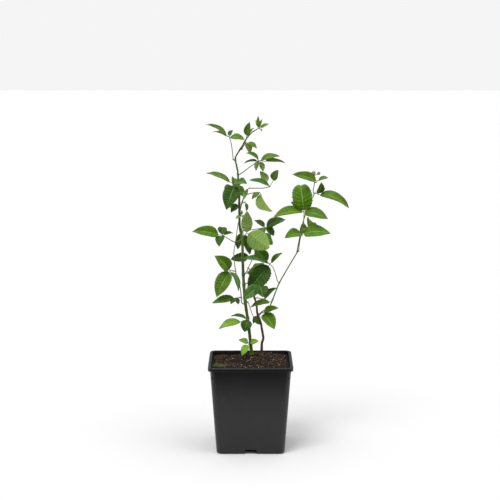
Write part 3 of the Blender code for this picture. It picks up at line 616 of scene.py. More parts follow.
class Limb:
    """A cane or twig: its path and radii, kept so that others can spring from it."""

    def __init__(self, name, path, radii, flare=False):
        self.name = name
        self.path = path
        self.radii = tapered_radii(path, *radii, flare)

    def side_start(self, height, target):
        """A point just clear of the limb's side, and the square way out towards a target."""
        level = GROUND + height
        for i in range(len(self.path) - 1):
            low, high = self.path[i], self.path[i + 1]
            if low.z <= level <= high.z:
                break
        share = (level - low.z) / (high.z - low.z)
        centre = low.lerp(high, share)
        radius = self.radii[i] + (self.radii[i + 1] - self.radii[i]) * share
        along = (high - low).normalized()
        outward = Vector((target.x - centre.x, target.y - centre.y, 0))
        outward = (outward - along * outward.dot(along)).normalized()
        return centre + outward * (radius + GAP), outward

    def tip_start(self):
        """A point just past the limb's tip, and the way the limb points there."""
        ahead = (self.path[-1] - self.path[-2]).normalized()
        return self.path[-1] + ahead * GAP, ahead

    def offset(self, i, point):
        """How far a point is from one stretch of the path, and where along it."""
        run = self.path[i + 1] - self.path[i]
        share = min(max((point - self.path[i]).dot(run) / run.length_squared, 0.0), 1.0)
        return (point - self.path[i] - run * share).length, share

    def radius_at(self, point):
        """The limb's radius where a point of its finer path lies."""
        i = min(range(len(self.path) - 1), key=lambda k: self.offset(k, point)[0])
        share = self.offset(i, point)[1]
        return self.radii[i] + (self.radii[i + 1] - self.radii[i]) * share

    def is_near(self, point, clearance):
        """Whether a point lies within a clearance of the limb's surface."""
        return any(self.offset(i, point)[0] < self.radii[i] + clearance
                   for i in range(len(self.path) - 1))


def standing_limb(name, foot, internodes, radii):
    """A cane that stands on the mound on a flat cut, flared at its foot."""
    ground = Vector((foot[0], foot[1], GROUND + GAP))
    base = [ground, ground + Vector((0, 0, FOOT_RISE))]
    path = base + smoothed(walk(base[1], internodes), LIMB_STEP)[1:]
    return Limb(name, path, radii, flare=True)


def springing_limb(name, carrier, height, internodes, radii):
    """A shoot that springs from the side of another limb, just clear of it."""
    far = step_along(1.0, *internodes[0][1:])
    start, outward = carrier.side_start(height, far)
    away = start + outward * SPRING_RISE
    path = [start] + smoothed(walk(away, internodes), LIMB_STEP)
    return Limb(name, path, radii)


def make_limbs():
    """Every cane, shoot and twig, by name."""
    main = standing_limb("main_cane", MAIN_FOOT, MAIN_INTERNODES, MAIN_RADII)
    old = standing_limb("old_cane", OLD_FOOT, OLD_INTERNODES, OLD_RADII)
    shoot = springing_limb("side_shoot", old, SHOOT_HEIGHT, SHOOT_INTERNODES, SHOOT_RADII)
    pale = springing_limb("pale_shoot", main, PALE_HEIGHT, PALE_INTERNODES, PALE_RADII)
    twig = springing_limb("axillary_twig", main, TWIG_HEIGHT, TWIG_INTERNODES, TWIG_RADII)
    return {limb.name: limb for limb in (main, old, shoot, pale, twig)}


def outline(t):
    """Half the width of an ovate, pointed leaflet along its length, 1 at its widest."""
    gain, rise, fall = BLADE_OUTLINE
    return gain * t ** rise * (1 - t) ** fall


def leaflet_axes(heading, toward, turn):
    """The way a leaflet points and the way its upper side faces."""
    heading, toward, turn = (math.radians(angle) for angle in (heading, toward, turn))
    along = Vector((
        math.cos(toward) * math.cos(heading), -math.sin(toward),
        math.cos(toward) * math.sin(heading)))
    shown = (VIEWER - along * VIEWER.dot(along)).normalized()
    upward = along.cross(shown)
    if upward.dot(SKYWARD) < 0:
        upward.negate()
    return along, shown * math.cos(turn) + upward * math.sin(turn)


class Leaflet:
    """A leaflet of a mass: where it starts, how it points and how it is folded and arched."""

    def __init__(self, junction, values, rng):
        heading, toward, self.reach, self.stalk, self.width, turn = values[:6]
        arch, fold = rng.uniform(*ARCHES), rng.uniform(*FOLDS)
        if len(values) > 6:
            arch, fold = values[6:]
        self.arch, self.fold = math.radians(arch), math.radians(fold)
        self.junction = junction
        self.along, self.face = leaflet_axes(heading, toward, turn)
        self.side = self.along.cross(self.face)

    def midrib(self, t):
        """A point on the midrib: an arc over the chord from the stalk's end to the tip."""
        chord = self.reach - self.stalk
        swing = self.arch * (t - 0.5)
        span = 2 * math.sin(self.arch / 2)
        ahead = self.stalk + chord * (math.sin(swing) / span + 0.5)
        above = chord * (math.cos(swing) - math.cos(self.arch / 2)) / span
        return self.junction + self.along * ahead + self.face * above

    def lift(self, t):
        """The way the blade faces at a point of its midrib."""
        swing = self.arch * (t - 0.5)
        return self.face * math.cos(swing) + self.along * math.sin(swing)

    def midline(self):
        """Points along the midrib, past the stalk."""
        return [self.midrib(t) for t in MIDLINE]


def petiole_path(start, outward, junction, arrive):
    """A curve that leaves a limb squarely and runs on towards the leaflets."""
    pull = (junction - start).length
    root = start + outward * PETIOLE_ROOT
    leave, reach = PETIOLE_PULL
    bend = min(leave * pull, PETIOLE_BEND)
    ways = (root, root + outward * bend, junction - arrive * (reach * pull), junction)
    count = 5 if pull > PETIOLE_SHORT else 3
    path = [start]
    for k in range(count + 1):
        t = k / count
        weights = ((1 - t) ** 3, 3 * t * (1 - t) ** 2, 3 * t * t * (1 - t), t ** 3)
        path.append(sum((way * weight for way, weight in zip(ways, weights)), Vector()))
    return path


def touches_limb(limbs, points):
    """Whether any of the points comes too near a limb."""
    return any(limb.is_near(point, LIMB_CLEARANCE) for limb in limbs.values()
               for point in points)


def linear(colour):
    """A linear RGBA colour from an sRGB hex value."""
    channels = [int(colour[i:i + 2], 16) / 255 for i in (0, 2, 4)]
    return (*(c / 12.92 if c < 0.04045 else ((c + 0.055) / 1.055) ** 2.4
              for c in channels), 1.0)


def add_node(tree, kind, settings=None, **links):
    """Add a node: settings go on it or its sockets, links name a socket and its source."""
    made = tree.nodes.new(kind)
    for key, value in (settings or {}).items():
        if isinstance(key, str) and hasattr(made, key):
            setattr(made, key, value)
        else:
            made.inputs[key].default_value = value
    for key, source in links.items():
        numbered = key[0] == "n" and key[1:].isdigit()
        socket = made.inputs[int(key[1:]) if numbered else key.replace("_", " ")]
        tree.links.new(source, socket)
    return made


def new_material(name, roughness, **constants):
    """A Principled material with its constants set on the shader's own sockets."""
    material = bpy.data.materials.new(name)
    material.use_nodes = True
    tree = material.node_tree
    shader = tree.nodes["Principled BSDF"]
    shader.inputs["Roughness"].default_value = roughness
    for key, value in constants.items():
        shader.inputs[key.replace("_", " ")].default_value = value
    place = add_node(tree, "ShaderNodeTexCoord").outputs["Object"]
    return material, tree, shader, place


def mottled(tree, place, colours, size, detail, spread):
    """A noise of the given real size that runs through two or more colours."""
    cloud = add_node(tree, "ShaderNodeTexNoise", {
        "Scale": 1 / size, "Detail": detail, "Roughness": NOISE_ROUGHNESS}, Vector=place)
    ramp = add_node(tree, "ShaderNodeValToRGB", Fac=cloud.outputs["Fac"])
    stops = ramp.color_ramp.elements
    while len(stops) < len(colours):
        stops.new(0.5)
    for k, colour in enumerate(colours):
        stops[k].position = spread[0] + (spread[1] - spread[0]) * k / (len(colours) - 1)
        stops[k].color = linear(colour)
    return ramp.outputs["Color"]


def finish(name, roughness, colours, size, detail=NOISE_DETAIL, spread=NOISE_SPREAD,
           relief=None, stretch=None, **constants):
    """A mottled surface, with a fine relief (size, depth), drawn out upwards where asked."""
    material, tree, shader, place = new_material(name, roughness, **constants)
    if stretch:
        place = add_node(tree, "ShaderNodeMapping", {"Scale": (1, 1, stretch)},
                         Vector=place).outputs["Vector"]
    colour = mottled(tree, place, colours, size, detail, spread)
    tree.links.new(colour, shader.inputs["Base Color"])
    if relief:
        grains = add_node(tree, "ShaderNodeTexNoise", {"Scale": 1 / relief[0]}, Vector=place)
        bump = add_node(tree, "ShaderNodeBump", {"Strength": 1.0, "Distance": relief[1]},
                        Height=grains.outputs["Fac"])
        tree.links.new(bump.outputs["Normal"], shader.inputs["Normal"])
    return material


def vein_share(tree):
    """How much of a vein there is: side veins lie where the first UV axis is whole."""
    across = add_node(tree, "ShaderNodeUVMap")
    parts = add_node(tree, "ShaderNodeSeparateXYZ", Vector=across.outputs["UV"])
    away = add_node(tree, "ShaderNodeMath", {"operation": "PINGPONG", 1: 0.5},
                    n0=parts.outputs["X"])
    share = add_node(tree, "ShaderNodeMapRange", {
        "From Min": VEIN_EDGE[0], "From Max": VEIN_EDGE[1], "To Min": 1.0, "To Max": 0.0},
        Value=away.outputs["Value"])
    return share.outputs["Result"]


def leaf_skin(name, look, colours, vein):
    """A leaf surface: mottled between two colours, with side veins drawn along its UVs."""
    roughness, gloss, strength, size, relief = look
    material, tree, shader, place = new_material(name, roughness, Specular_IOR_Level=gloss)
    blade = mottled(tree, place, colours, size, NOISE_DETAIL, NOISE_SPREAD)
    share = vein_share(tree)
    part = add_node(tree, "ShaderNodeMath", {"operation": "MULTIPLY", 1: strength}, n0=share)
    mix = add_node(tree, "ShaderNodeMix", {"data_type": "RGBA", 7: linear(vein)},
                   n0=part.outputs["Value"], n6=blade)
    tree.links.new(mix.outputs[2], shader.inputs["Base Color"])
    areoles = add_node(tree, "ShaderNodeTexVoronoi", {"Scale": 1 / AREOLE}, Vector=place)
    fine = add_node(tree, "ShaderNodeBump", {"Strength": 1.0, "Distance": AREOLE_RELIEF},
                    Height=areoles.outputs["Distance"])
    ridge = add_node(tree, "ShaderNodeBump", {"Strength": 1.0, "Distance": relief},
                     Height=share, Normal=fine.outputs["Normal"])
    tree.links.new(ridge.outputs["Normal"], shader.inputs["Normal"])
    return material


def leaf_materials():
    """For each tone: blade above, midrib above, blade below, midrib below."""
    made = {}
    for tone, (blade, shade, below, vein) in TONES.items():
        # A living leaf's upper skin: waxy, so it keeps a soft broad gloss, its veins sunk in
        upper = leaf_skin("waxy_leaf_" + tone, UPPER_SKIN, (shade, blade), vein)
        # The underside is felted with short down: pale, matte, with raised paler veins
        lower = leaf_skin("downy_leaf_back_" + tone, LOWER_SKIN, (vein, below), PALE_VEIN)
        # Midribs are smooth and lighter than the blade
        rib = finish("leaf_midrib_" + tone, 0.45, (vein, below), 0.003)
        made[tone] = (upper, rib, lower, rib)
    return made


def other_materials():
    """Everything that isn't a leaf blade, by a short name."""
    return {
        # Injection-moulded polypropylene: matte black with a faint orange-peel sheen
        "pot": finish("moulded_black_polypropylene", 0.34, ("060708", "0a0b0c", "101112"),
                      0.018, 6.0, (0.3, 0.7), (0.0007, 0.00004), Specular_IOR_Level=0.5),
        # Damp peat: nearly black-brown, dry and lighter in patches
        "peat": finish("damp_peat", 0.95, ("040302", "120b06", "26180e"), 0.0022, 8.0,
                       (0.35, 0.72), (0.0006, 0.0004)),
        # Loose crumbs of the same peat, drier and a little browner
        "crumb": finish("peat_crumb", 0.95, ("060402", "180f08", "3c281a"), 0.0016, 3.0,
                        (0.38, 0.66)),
        # Root and peat fibres: dry, straw to rust brown
        "fibre": finish("peat_fibre", 0.85, ("3a2516", "6b4c30", "8f7350"), 0.006),
        # Composted bark: torn, dull and fibrous, from dark to straw brown
        "bark_chip": finish("composted_bark_chip", 0.88, ("4a3423", "7d664a", "9c8767"),
                            0.0018, relief=(0.0004, 0.0002)),
        # Grit: dusty pale mineral grains
        "grit": finish("pale_grit", 0.8, ("b5aa98", "d6cfc2"), 0.001),
        # Moss: low matte green tufts
        "moss": finish("moss", 0.8, ("2f3f12", "56702a"), 0.003),
        # Green cane: smooth skin, streaked along with brown where it has ripened
        "cane": finish("green_cane_skin", 0.5, ("3f6418", "5f7f2c", "8b8450"), 0.0035, 5.0,
                       CANE_SPREAD, (0.0005, 0.00010), CANE_STREAK),
        # The same skin further on: olive, beige and brown
        "ripe_cane": finish("ripening_cane_skin", 0.55, ("6c7038", "8d8d58", "7d6244"),
                            0.003, 5.0, CANE_SPREAD, (0.0005, 0.00010), CANE_STREAK),
        # Old cane: dry bark, fissured lengthwise
        "bark": finish("dry_brown_bark", 0.85, ("3c2a18", "5f4529", "86704d"), 0.0016, 6.0,
                       (0.36, 0.66), (0.0005, 0.00030), BARK_STREAK),
        # Petioles and the thin pale shoot: smooth, dull green tinged with brown
        "petiole": finish("petiole_skin", 0.55, ("6f8238", "857c4a", "7f6a46"), 0.012),
        # Flower buds: grey-brown down that catches the light at its edge
        "bud": finish("downy_bud", 0.9, ("8a7450", "b7a27a", "a98f66"), 0.0012,
                      relief=(0.0004, 0.0003), Sheen_Weight=0.4),
    }


def mesh_object(name, verts, faces, materials, indices=None, uvs=None):
    """A plain mesh object from lists of points and faces, with a UV for each point."""
    mesh = bpy.data.meshes.new(name)
    mesh.from_pydata([tuple(v) for v in verts], [], faces)
    for material in materials:
        mesh.materials.append(material)
    if indices is not None:
        mesh.polygons.foreach_set("material_index", indices)
    mesh.polygons.foreach_set("use_smooth", [True] * len(mesh.polygons))
    if uvs is not None:
        corners = np.empty(len(mesh.loops), dtype=np.int32)
        mesh.loops.foreach_get("vertex_index", corners)
        layer = mesh.uv_layers.new(name="UVMap")
        layer.uv.foreach_set("vector", np.array(uvs, dtype=np.float32)[corners].ravel())
    mesh.update()
    return add_object(name, mesh)


def hand_in(piece, slot, *nodes):
    """Hang a finished piece on the root body and hide the solids it stands for; its slot is not
    used.
    """
    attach(piece, "root")
    if nodes:
        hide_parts(*nodes)


def new_tree(name, sizes):
    """A geometry tree with a geometry input, named size inputs and a geometry output."""
    tree = bpy.data.node_groups.new(name, "GeometryNodeTree")
    tree.interface.new_socket("Geometry", in_out="INPUT", socket_type="NodeSocketGeometry")
    for label, (kind, value) in sizes.items():
        socket = tree.interface.new_socket(label, in_out="INPUT", socket_type=kind)
        if value is not None:
            socket.default_value = value
    tree.interface.new_socket("Geometry", in_out="OUTPUT", socket_type="NodeSocketGeometry")
    return tree, add_node(tree, "NodeGroupInput"), add_node(tree, "NodeGroupOutput")


def end_tree(tree, geometry, source, sink):
    """End a geometry tree with its instances made real and its material set."""
    real = add_node(tree, "GeometryNodeRealizeInstances", Geometry=geometry)
    painted = add_node(tree, "GeometryNodeSetMaterial", Geometry=real.outputs["Geometry"],
                       Material=source.outputs["Material"])
    tree.links.new(painted.outputs["Geometry"], sink.inputs["Geometry"])
    return tree


def run_tree(item, tree, values):
    """Set a geometry tree's inputs on an object, evaluate it and keep the plain mesh."""
    modifier = item.modifiers.new(tree.name, "NODES")
    modifier.node_group = tree
    for socket in tree.interface.items_tree:
        if socket.in_out == "INPUT" and socket.name in values:
            modifier[socket.identifier] = values[socket.name]
    name = item.name
    mesh = evaluated_mesh(item)
    mesh.name = name
    bpy.data.objects.remove(item, do_unlink=True)
    return add_object(name, mesh)


def sweep_tree():
    """Sweeps a round section along splines, with relief on its skin."""
    tree, source, sink = new_tree("swept_stems", {
        "Step": ("NodeSocketFloat", SWEEP_STEP), "Sides": ("NodeSocketInt", PETIOLE_SIDES),
        "Relief": ("NodeSocketFloat", 0.0), "Relief Size": ("NodeSocketFloat", RELIEF_SIZE),
        "Material": ("NodeSocketMaterial", None)})
    even = add_node(tree, "GeometryNodeResampleCurve", {"mode": "LENGTH"},
                    Curve=source.outputs["Geometry"], Length=source.outputs["Step"])
    section = add_node(tree, "GeometryNodeCurvePrimitiveCircle", {"Radius": 1.0},
                       Resolution=source.outputs["Sides"])
    radius = add_node(tree, "GeometryNodeInputRadius")
    skin = add_node(tree, "GeometryNodeCurveToMesh", {"Fill Caps": True},
                    Curve=even.outputs["Curve"], Profile_Curve=section.outputs["Curve"],
                    Scale=radius.outputs["Radius"])
    place = add_node(tree, "GeometryNodeInputPosition")
    share = add_node(tree, "ShaderNodeVectorMath", {"operation": "DIVIDE"},
                     n0=place.outputs["Position"], n1=source.outputs["Relief Size"])
    rough = add_node(tree, "ShaderNodeTexNoise", {"Scale": 1.0, "Detail": 3.0},
                     Vector=share.outputs["Vector"])
    centred = add_node(tree, "ShaderNodeMath", {"operation": "SUBTRACT", 1: 0.5},
                       n0=rough.outputs["Fac"])
    depth = add_node(tree, "ShaderNodeMath", {"operation": "MULTIPLY"},
                     n0=centred.outputs["Value"], n1=source.outputs["Relief"])
    facing = add_node(tree, "GeometryNodeInputNormal")
    shift = add_node(tree, "ShaderNodeVectorMath", {"operation": "SCALE"},
                     n0=facing.outputs["Normal"], Scale=depth.outputs["Value"])
    moved = add_node(tree, "GeometryNodeSetPosition",
                     Geometry=skin.outputs["Mesh"], Offset=shift.outputs["Vector"])
    smooth = add_node(tree, "GeometryNodeSetShadeSmooth", Geometry=moved.outputs["Geometry"])
    return end_tree(tree, smooth.outputs["Geometry"], source, sink)


def swept(name, splines, material, tree, step, sides, relief=0.0):
    """Stems as one mesh: each spline is a list of (point, radius)."""
    curve = bpy.data.curves.new(name, "CURVE")
    curve.dimensions = "3D"
    for run in splines:
        spline = curve.splines.new("POLY")
        spline.points.add(len(run) - 1)
        for point, (place, radius) in zip(spline.points, run):
            point.co = (*place, 1.0)
            point.radius = radius
    return run_tree(add_object(name, curve), tree, {
        "Step": step, "Sides": sides, "Relief": relief, "Relief Size": RELIEF_SIZE,
        "Material": material})


def blade_point(leaflet, u, s, tooth, veins, waves, phase):
    """A point of a leaflet's upper skin and the way it faces there.

    Its side vein leaves the midrib at u, from 0 to 1, and s is its place across, from -1 to 1.
    """
    half, a = leaflet.width / 2, abs(s)
    edge = a ** EDGE_POWER
    t = u + VEIN_SWEEP * a * math.sin(math.pi * u)
    t = min(t + edge * TOOTH_FORWARD * (tooth - TOOTH_MIDDLE) / veins * (1 - u), 1.0)
    wide = half * outline(min(max(t, 0.0), 1.0)) * (1 + edge * (tooth - 1))
    wide = max(wide, STALK_WIDTH / 3 * (1 - u))
    pleat = -PLEAT * half * math.cos(2 * math.pi * veins * u)
    pleat *= math.sin(math.pi * min(a * PLEAT_REACH, 1.0)) * math.sin(math.pi * u) ** 0.5
    wave = WAVE * half * a * a * math.sin(2 * math.pi * waves * u + phase + s)
    lift = leaflet.lift(t)
    rise = wide * a * math.sin(leaflet.fold) + pleat + wave
    point = (leaflet.midrib(t) + leaflet.side * (wide * s * math.cos(leaflet.fold))
             + lift * rise)
    return point, lift


def skin_faces(rows, columns):
    """Faces and material numbers of a leaflet's two skins, joined along its two edges."""
    count = len(columns)
    total = (rows + 1) * count
    faces, paint = [], []
    for i in range(rows):
        for j in range(count - 1):
            first = i * count + j
            loop = (first, first + 1, first + count + 1, first + count)
            rib = abs(columns[j]) <= ACROSS[1] and abs(columns[j + 1]) <= ACROSS[1]
            faces += [loop, tuple(total + k for k in reversed(loop))]
            paint += [1, 3] if rib else [0, 2]
        for j, flip in ((0, False), (count - 1, True)):
            first = i * count + j
            loop = (first, first + count, total + first + count, total + first)
            faces.append(tuple(reversed(loop)) if flip else loop)
            paint.append(0)
    return faces, paint


def leaflet_mesh(leaflet, rng):
    """Points, faces, material numbers and UVs of a pleated, toothed leaflet with two skins.

    Material 0 is the blade above, 1 its midrib, 2 the blade below and 3 the midrib there.
    """
    veins = int(min(max(round(leaflet.reach / VEIN_SPACING), VEINS[0]), VEINS[1]))
    rows = veins * ROWS_PER_VEIN
    phase = rng.uniform(0, 2 * math.pi)
    waves = rng.uniform(*WAVES)
    columns = [-a for a in reversed(ACROSS[1:])] + list(ACROSS)
    above, below, uvs = [], [], []
    for i in range(rows + 1):
        u = i / rows
        tooth = TOOTH_SHARE[i % ROWS_PER_VEIN]
        for s in columns:
            point, lift = blade_point(leaflet, u, s, tooth, veins, waves, phase)
            above.append(point)
            below.append(point - lift * LEAF_THICKNESS)
            uvs.append((veins * u, s))
    faces, paint = skin_faces(rows, columns)
    return above + below, faces, paint, uvs + uvs


class Foliage:
    """Leaflets of one carrier, gathered into one mesh."""

    def __init__(self):
        self.verts, self.faces, self.paint, self.uvs, self.nodes = [], [], [], [], []

    def add(self, verts, faces, paint, uvs, tone_number):
        """Take in a leaflet whose materials start at its tone's own four."""
        start = len(self.verts)
        self.verts += verts
        self.faces += [tuple(start + k for k in face) for face in faces]
        self.paint += [4 * tone_number + k for k in paint]
        self.uvs += uvs


def petiole_run(path):
    """A petiole's points, with radii that fall towards its leaflets."""
    full, loss = PETIOLE_TAPER
    return [(point, PETIOLE_RADIUS * (full - loss * k / len(path)))
            for k, point in enumerate(path)]


def stipule_runs(foot, outward):
    """Two fine pointed stipules, one at each side of a petiole's foot."""
    runs = []
    for side in (-1, 1):
        spread = (outward + side * STIPULE_SPREAD * outward.cross(SKYWARD).normalized()
                  + Vector((0, 0, STIPULE_RISE))).normalized()
        tip = foot + spread * STIPULE_LENGTH + Vector((0, 0, STIPULE_CURL))
        places = (foot, foot + spread * STIPULE_LENGTH * 0.5, tip)
        runs.append(list(zip(places, STIPULE_RADII)))
    return runs


def stalk_run(leaflet):
    """A leaflet's own short stalk, from its root in the junction into the midrib."""
    return [(leaflet.junction - leaflet.along * STALK_ROOT, STALK_WIDTH / 2),
            (leaflet.midrib(0), STALK_WIDTH / 2),
            (leaflet.midrib(STALK_OVERLAP), STALK_WIDTH / 3)]


def grow_leaves(limbs):
    """Every leaf by the rule: blades by carrier, and petioles with stipules as splines."""
    tones = list(TONES)
    blades, stalks = {}, []
    for name, carrier, height, place, rows in LEAVES:
        rng = random.Random(name)
        junction = Vector((place[0], place[1], GROUND + place[2]))
        if height is None:
            start, outward = limbs[carrier].tip_start()
        else:
            start, outward = limbs[carrier].side_start(height, junction)
        leaflets = [Leaflet(junction, values, rng) for values in rows]
        arrive = ((junction - start).normalized() + ARRIVAL * leaflets[0].along).normalized()
        path = petiole_path(start, outward, junction, arrive)
        stalks.append(petiole_run(path))
        stalks += stipule_runs(path[1], outward)
        group = blades.setdefault(carrier, Foliage())
        group.nodes.append(name)
        shades = LEAF_TONES.get(name, ("mid",))
        for k, leaflet in enumerate(leaflets):
            if touches_limb(limbs, leaflet.midline()):
                continue
            tone = tones.index(shades[min(k, len(shades) - 1)])
            group.add(*leaflet_mesh(leaflet, random.Random(name + str(k))), tone)
            stalks.append(stalk_run(leaflet))
    return blades, stalks


def make_foliage(limbs, leaf_skins, materials, tree):
    """The leaf pieces, one for each carrier, and one piece of petioles and stipules."""
    blades, stalks = grow_leaves(limbs)
    skins = [skin for tone in TONES for skin in leaf_skins[tone]]
    for carrier, group in blades.items():
        piece = mesh_object("leaves_on_" + carrier, group.verts, group.faces, skins,
                            group.paint, group.uvs)
        hand_in(piece, "leaf", *group.nodes)
    petioles = swept("petioles", stalks, materials["petiole"], tree, PETIOLE_STEP,
                     PETIOLE_SIDES)
    hand_in(petioles, "leaf")


def swollen_run(limb, levels):
    """A limb's finer path with its radii, swollen where its leaves spring."""
    run = []
    for point in smoothed(limb.path, SWEEP_STEP):
        radius = limb.radius_at(point)
        for level in levels:
            radius *= 1 + NODE_SWELLING * math.exp(-((point.z - level) / NODE_SPREAD) ** 2)
        run.append((point, radius))
    return run


def spur_run(limb):
    """The short side of the old cane's dead fork."""
    fork = limb.path[-2]
    tip = fork + step_along(*DEAD_SPUR)
    return [(fork.lerp(tip, share), gain * limb.radii[-2]) for share, gain in SPUR_TAPER]


def make_canes(limbs, materials, tree):
    """Canes and shoots with swollen nodes; the old cane's dead spur is swept with it."""
    nodes = {name: [] for name in limbs}
    for _, carrier, height, _, _ in LEAVES:
        if height is not None:
            nodes[carrier].append(GROUND + height)
    for name, limb in limbs.items():
        runs = [swollen_run(limb, nodes[name])]
        if name == "old_cane":
            runs.append(spur_run(limb))
        skin, slot = CANE_LOOKS[name]
        piece = swept(name + "_skin", runs, materials[skin], tree, SWEEP_STEP, CANE_SIDES,
                      RELIEF_SHARE * limb.radii[0])
        hand_in(piece, slot, name)


def bud_points(centre, axis, radius):
    """Rings of points round a bud, with five sepal ridges that meet in a point."""
    turn = axis.to_track_quat("Z", "Y")
    points = []
    for i in range(BUD_RINGS + 1):
        lat = math.pi * i / BUD_RINGS
        for j in range(BUD_SIDES):
            lon = 2 * math.pi * j / BUD_SIDES
            ridge = 1 + SEPAL_RIDGE * math.cos(SEPALS * lon) * math.sin(lat)
            flat = radius * math.sin(lat) * ridge
            tall = -radius * math.cos(lat) * (1.0 if lat < math.pi / 2 else BUD_POINT)
            local = Vector((flat * math.cos(lon), flat * math.sin(lon), tall))
            rough = BUD_DOWN[1] * radius * noise.noise(local / (BUD_DOWN[0] * radius))
            points.append(centre + turn @ (local + local.normalized() * rough))
    return points


def make_buds(limbs, materials, tree):
    """Two downy flower buds on short stalks at the side shoot's tip."""
    tip, ahead = limbs["side_shoot"].tip_start()
    root = tip + ahead * BUD_ROOT
    verts, faces, runs = [], [], []
    for offset, radius in BUDS:
        centre = root + Vector(offset)
        axis = (Vector(offset) + Vector((0, 0, radius))).normalized()
        start = len(verts)
        verts += bud_points(centre, axis, radius)
        for i in range(BUD_RINGS):
            for j in range(BUD_SIDES):
                a = start + i * BUD_SIDES + j
                b = start + i * BUD_SIDES + (j + 1) % BUD_SIDES
                faces.append((a, b, b + BUD_SIDES, a + BUD_SIDES))
        runs.append([(tip, BUD_STALK_RADIUS), (root, BUD_STALK_RADIUS),
                     (centre - axis * radius * BUD_SEAT, BUD_STALK_RADIUS)])
    buds = mesh_object("downy_buds", verts, faces, [materials["bud"]])
    bm = bmesh.new()
    bm.from_mesh(buds.data)
    bmesh.ops.remove_doubles(bm, verts=bm.verts, dist=POLE_MERGE)
    bmesh.ops.recalc_face_normals(bm, faces=bm.faces)
    bm.to_mesh(buds.data)
    bm.free()
    hand_in(buds, "bud", "flower_buds")
    stalks = swept("bud_stalks", runs, materials["petiole"], tree, BUD_STALK_STEP,
                   PETIOLE_SIDES)
    hand_in(stalks, "leaf")


def room_half():
    """Half the width of the pot's inside at the compost's level."""
    low, high = widths_at(-POT_WALL - GAP)[2:]
    share = (BED_LEVEL - low[1]) / (high[1] - low[1])
    return (low[0] + (high[0] - low[0]) * share) / 2


def wall_point(x, y, half, corner):
    """A point kept inside the pot's rounded square."""
    inner = half - corner
    dx, dy = abs(x) - inner, abs(y) - inner
    if dx > 0 and dy > 0:
        away = math.hypot(dx, dy)
        if away > corner:
            x = math.copysign(inner + dx * corner / away, x)
            y = math.copysign(inner + dy * corner / away, y)
    return x, y


def fine_bed(x, y):
    """The bed's height: a mound with a smooth fall, under clods and ridges."""
    away = math.dist((x, y), MOUND_CENTRE)
    fade = min(max((away - MOUND_FLAT) / MOUND_REACH, 0.0), 1.0)
    fall = fade * fade * (3 - 2 * fade)
    clods = noise.fractal(Vector((x, y, 0)) / CLOD_SIZE, *CLOD_FRACTAL)
    ridged = abs(noise.noise(Vector((x, y, RIDGE_PLANE)) / (RIDGE_SIZE * CLOD_SIZE)))
    rough = CLOD_HEIGHT * (clods - CLOD_SINK + RIDGE_GAIN * ridged)
    rough *= min(1.0, MOUND_ROUGHNESS + 2 * fade)
    return GROUND - BED_DROP + (BED_LEVEL - GROUND) * fall + rough


def bed_sheet(name, reach, count, materials, corner=0.0):
    """A square sheet of quads that follows the bed, its corners rounded where asked."""
    verts = []
    for i in range(count + 1):
        for j in range(count + 1):
            x, y = reach * (2 * i / count - 1), reach * (2 * j / count - 1)
            if corner:
                x, y = wall_point(x, y, reach, corner)
            verts.append((x, y, fine_bed(x, y)))
    row = count + 1
    faces = [(i * row + j, (i + 1) * row + j, (i + 1) * row + j + 1, i * row + j + 1)
             for i in range(count) for j in range(count)]
    return mesh_object(name, verts, faces, materials)


def make_bed(half, materials):
    """The compost's surface as a closed slab under a fine heightfield."""
    bed = bed_sheet("compost_bed", half, int(2 * half / BED_SPACING), [materials["peat"]],
                    POT_CORNER - POT_WALL - GAP)
    bm = bmesh.new()
    bm.from_mesh(bed.data)
    rim = [edge for edge in bm.edges if edge.is_boundary]
    grown = bmesh.ops.extrude_edge_only(bm, edges=rim)["geom"]
    for part in grown:
        if isinstance(part, bmesh.types.BMVert):
            part.co.z = BED_LEVEL - BED_DEPTH
    bmesh.ops.contextual_create(
        bm, geom=[part for part in grown if isinstance(part, bmesh.types.BMEdge)])
    bmesh.ops.triangulate(bm, faces=[face for face in bm.faces if len(face.verts) > 4])
    bmesh.ops.recalc_face_normals(bm, faces=bm.faces)
    bm.to_mesh(bed.data)
    bm.free()
    hand_in(bed, "compost", "compost")


def crumb_tree(shape):
    """Scatters lumps of random size and turn over a surface."""
    tree, source, sink = new_tree("scattered_crumbs", {
        "Density": ("NodeSocketFloat", CRUMB_DENSITY),
        "Smallest": ("NodeSocketFloat", CRUMB_RADII[0]),
        "Largest": ("NodeSocketFloat", CRUMB_RADII[1]), "Seed": ("NodeSocketInt", CRUMB_SEED),
        "Material": ("NodeSocketMaterial", None)})
    spots = add_node(tree, "GeometryNodeDistributePointsOnFaces",
                     Mesh=source.outputs["Geometry"], Density=source.outputs["Density"],
                     Seed=source.outputs["Seed"])
    lump = add_node(tree, "GeometryNodeObjectInfo", {"Object": shape})
    size = add_node(tree, "FunctionNodeRandomValue", {"data_type": "FLOAT"},
                    n2=source.outputs["Smallest"], n3=source.outputs["Largest"])
    turn = add_node(tree, "FunctionNodeRandomValue",
                    {"data_type": "FLOAT_VECTOR", 1: (math.tau, math.tau, math.tau)})
    placed = add_node(tree, "GeometryNodeInstanceOnPoints", Points=spots.outputs["Points"],
                      Instance=lump.outputs["Geometry"], Rotation=turn.outputs[0],
                      Scale=size.outputs[1])
    return end_tree(tree, placed.outputs["Instances"], source, sink)


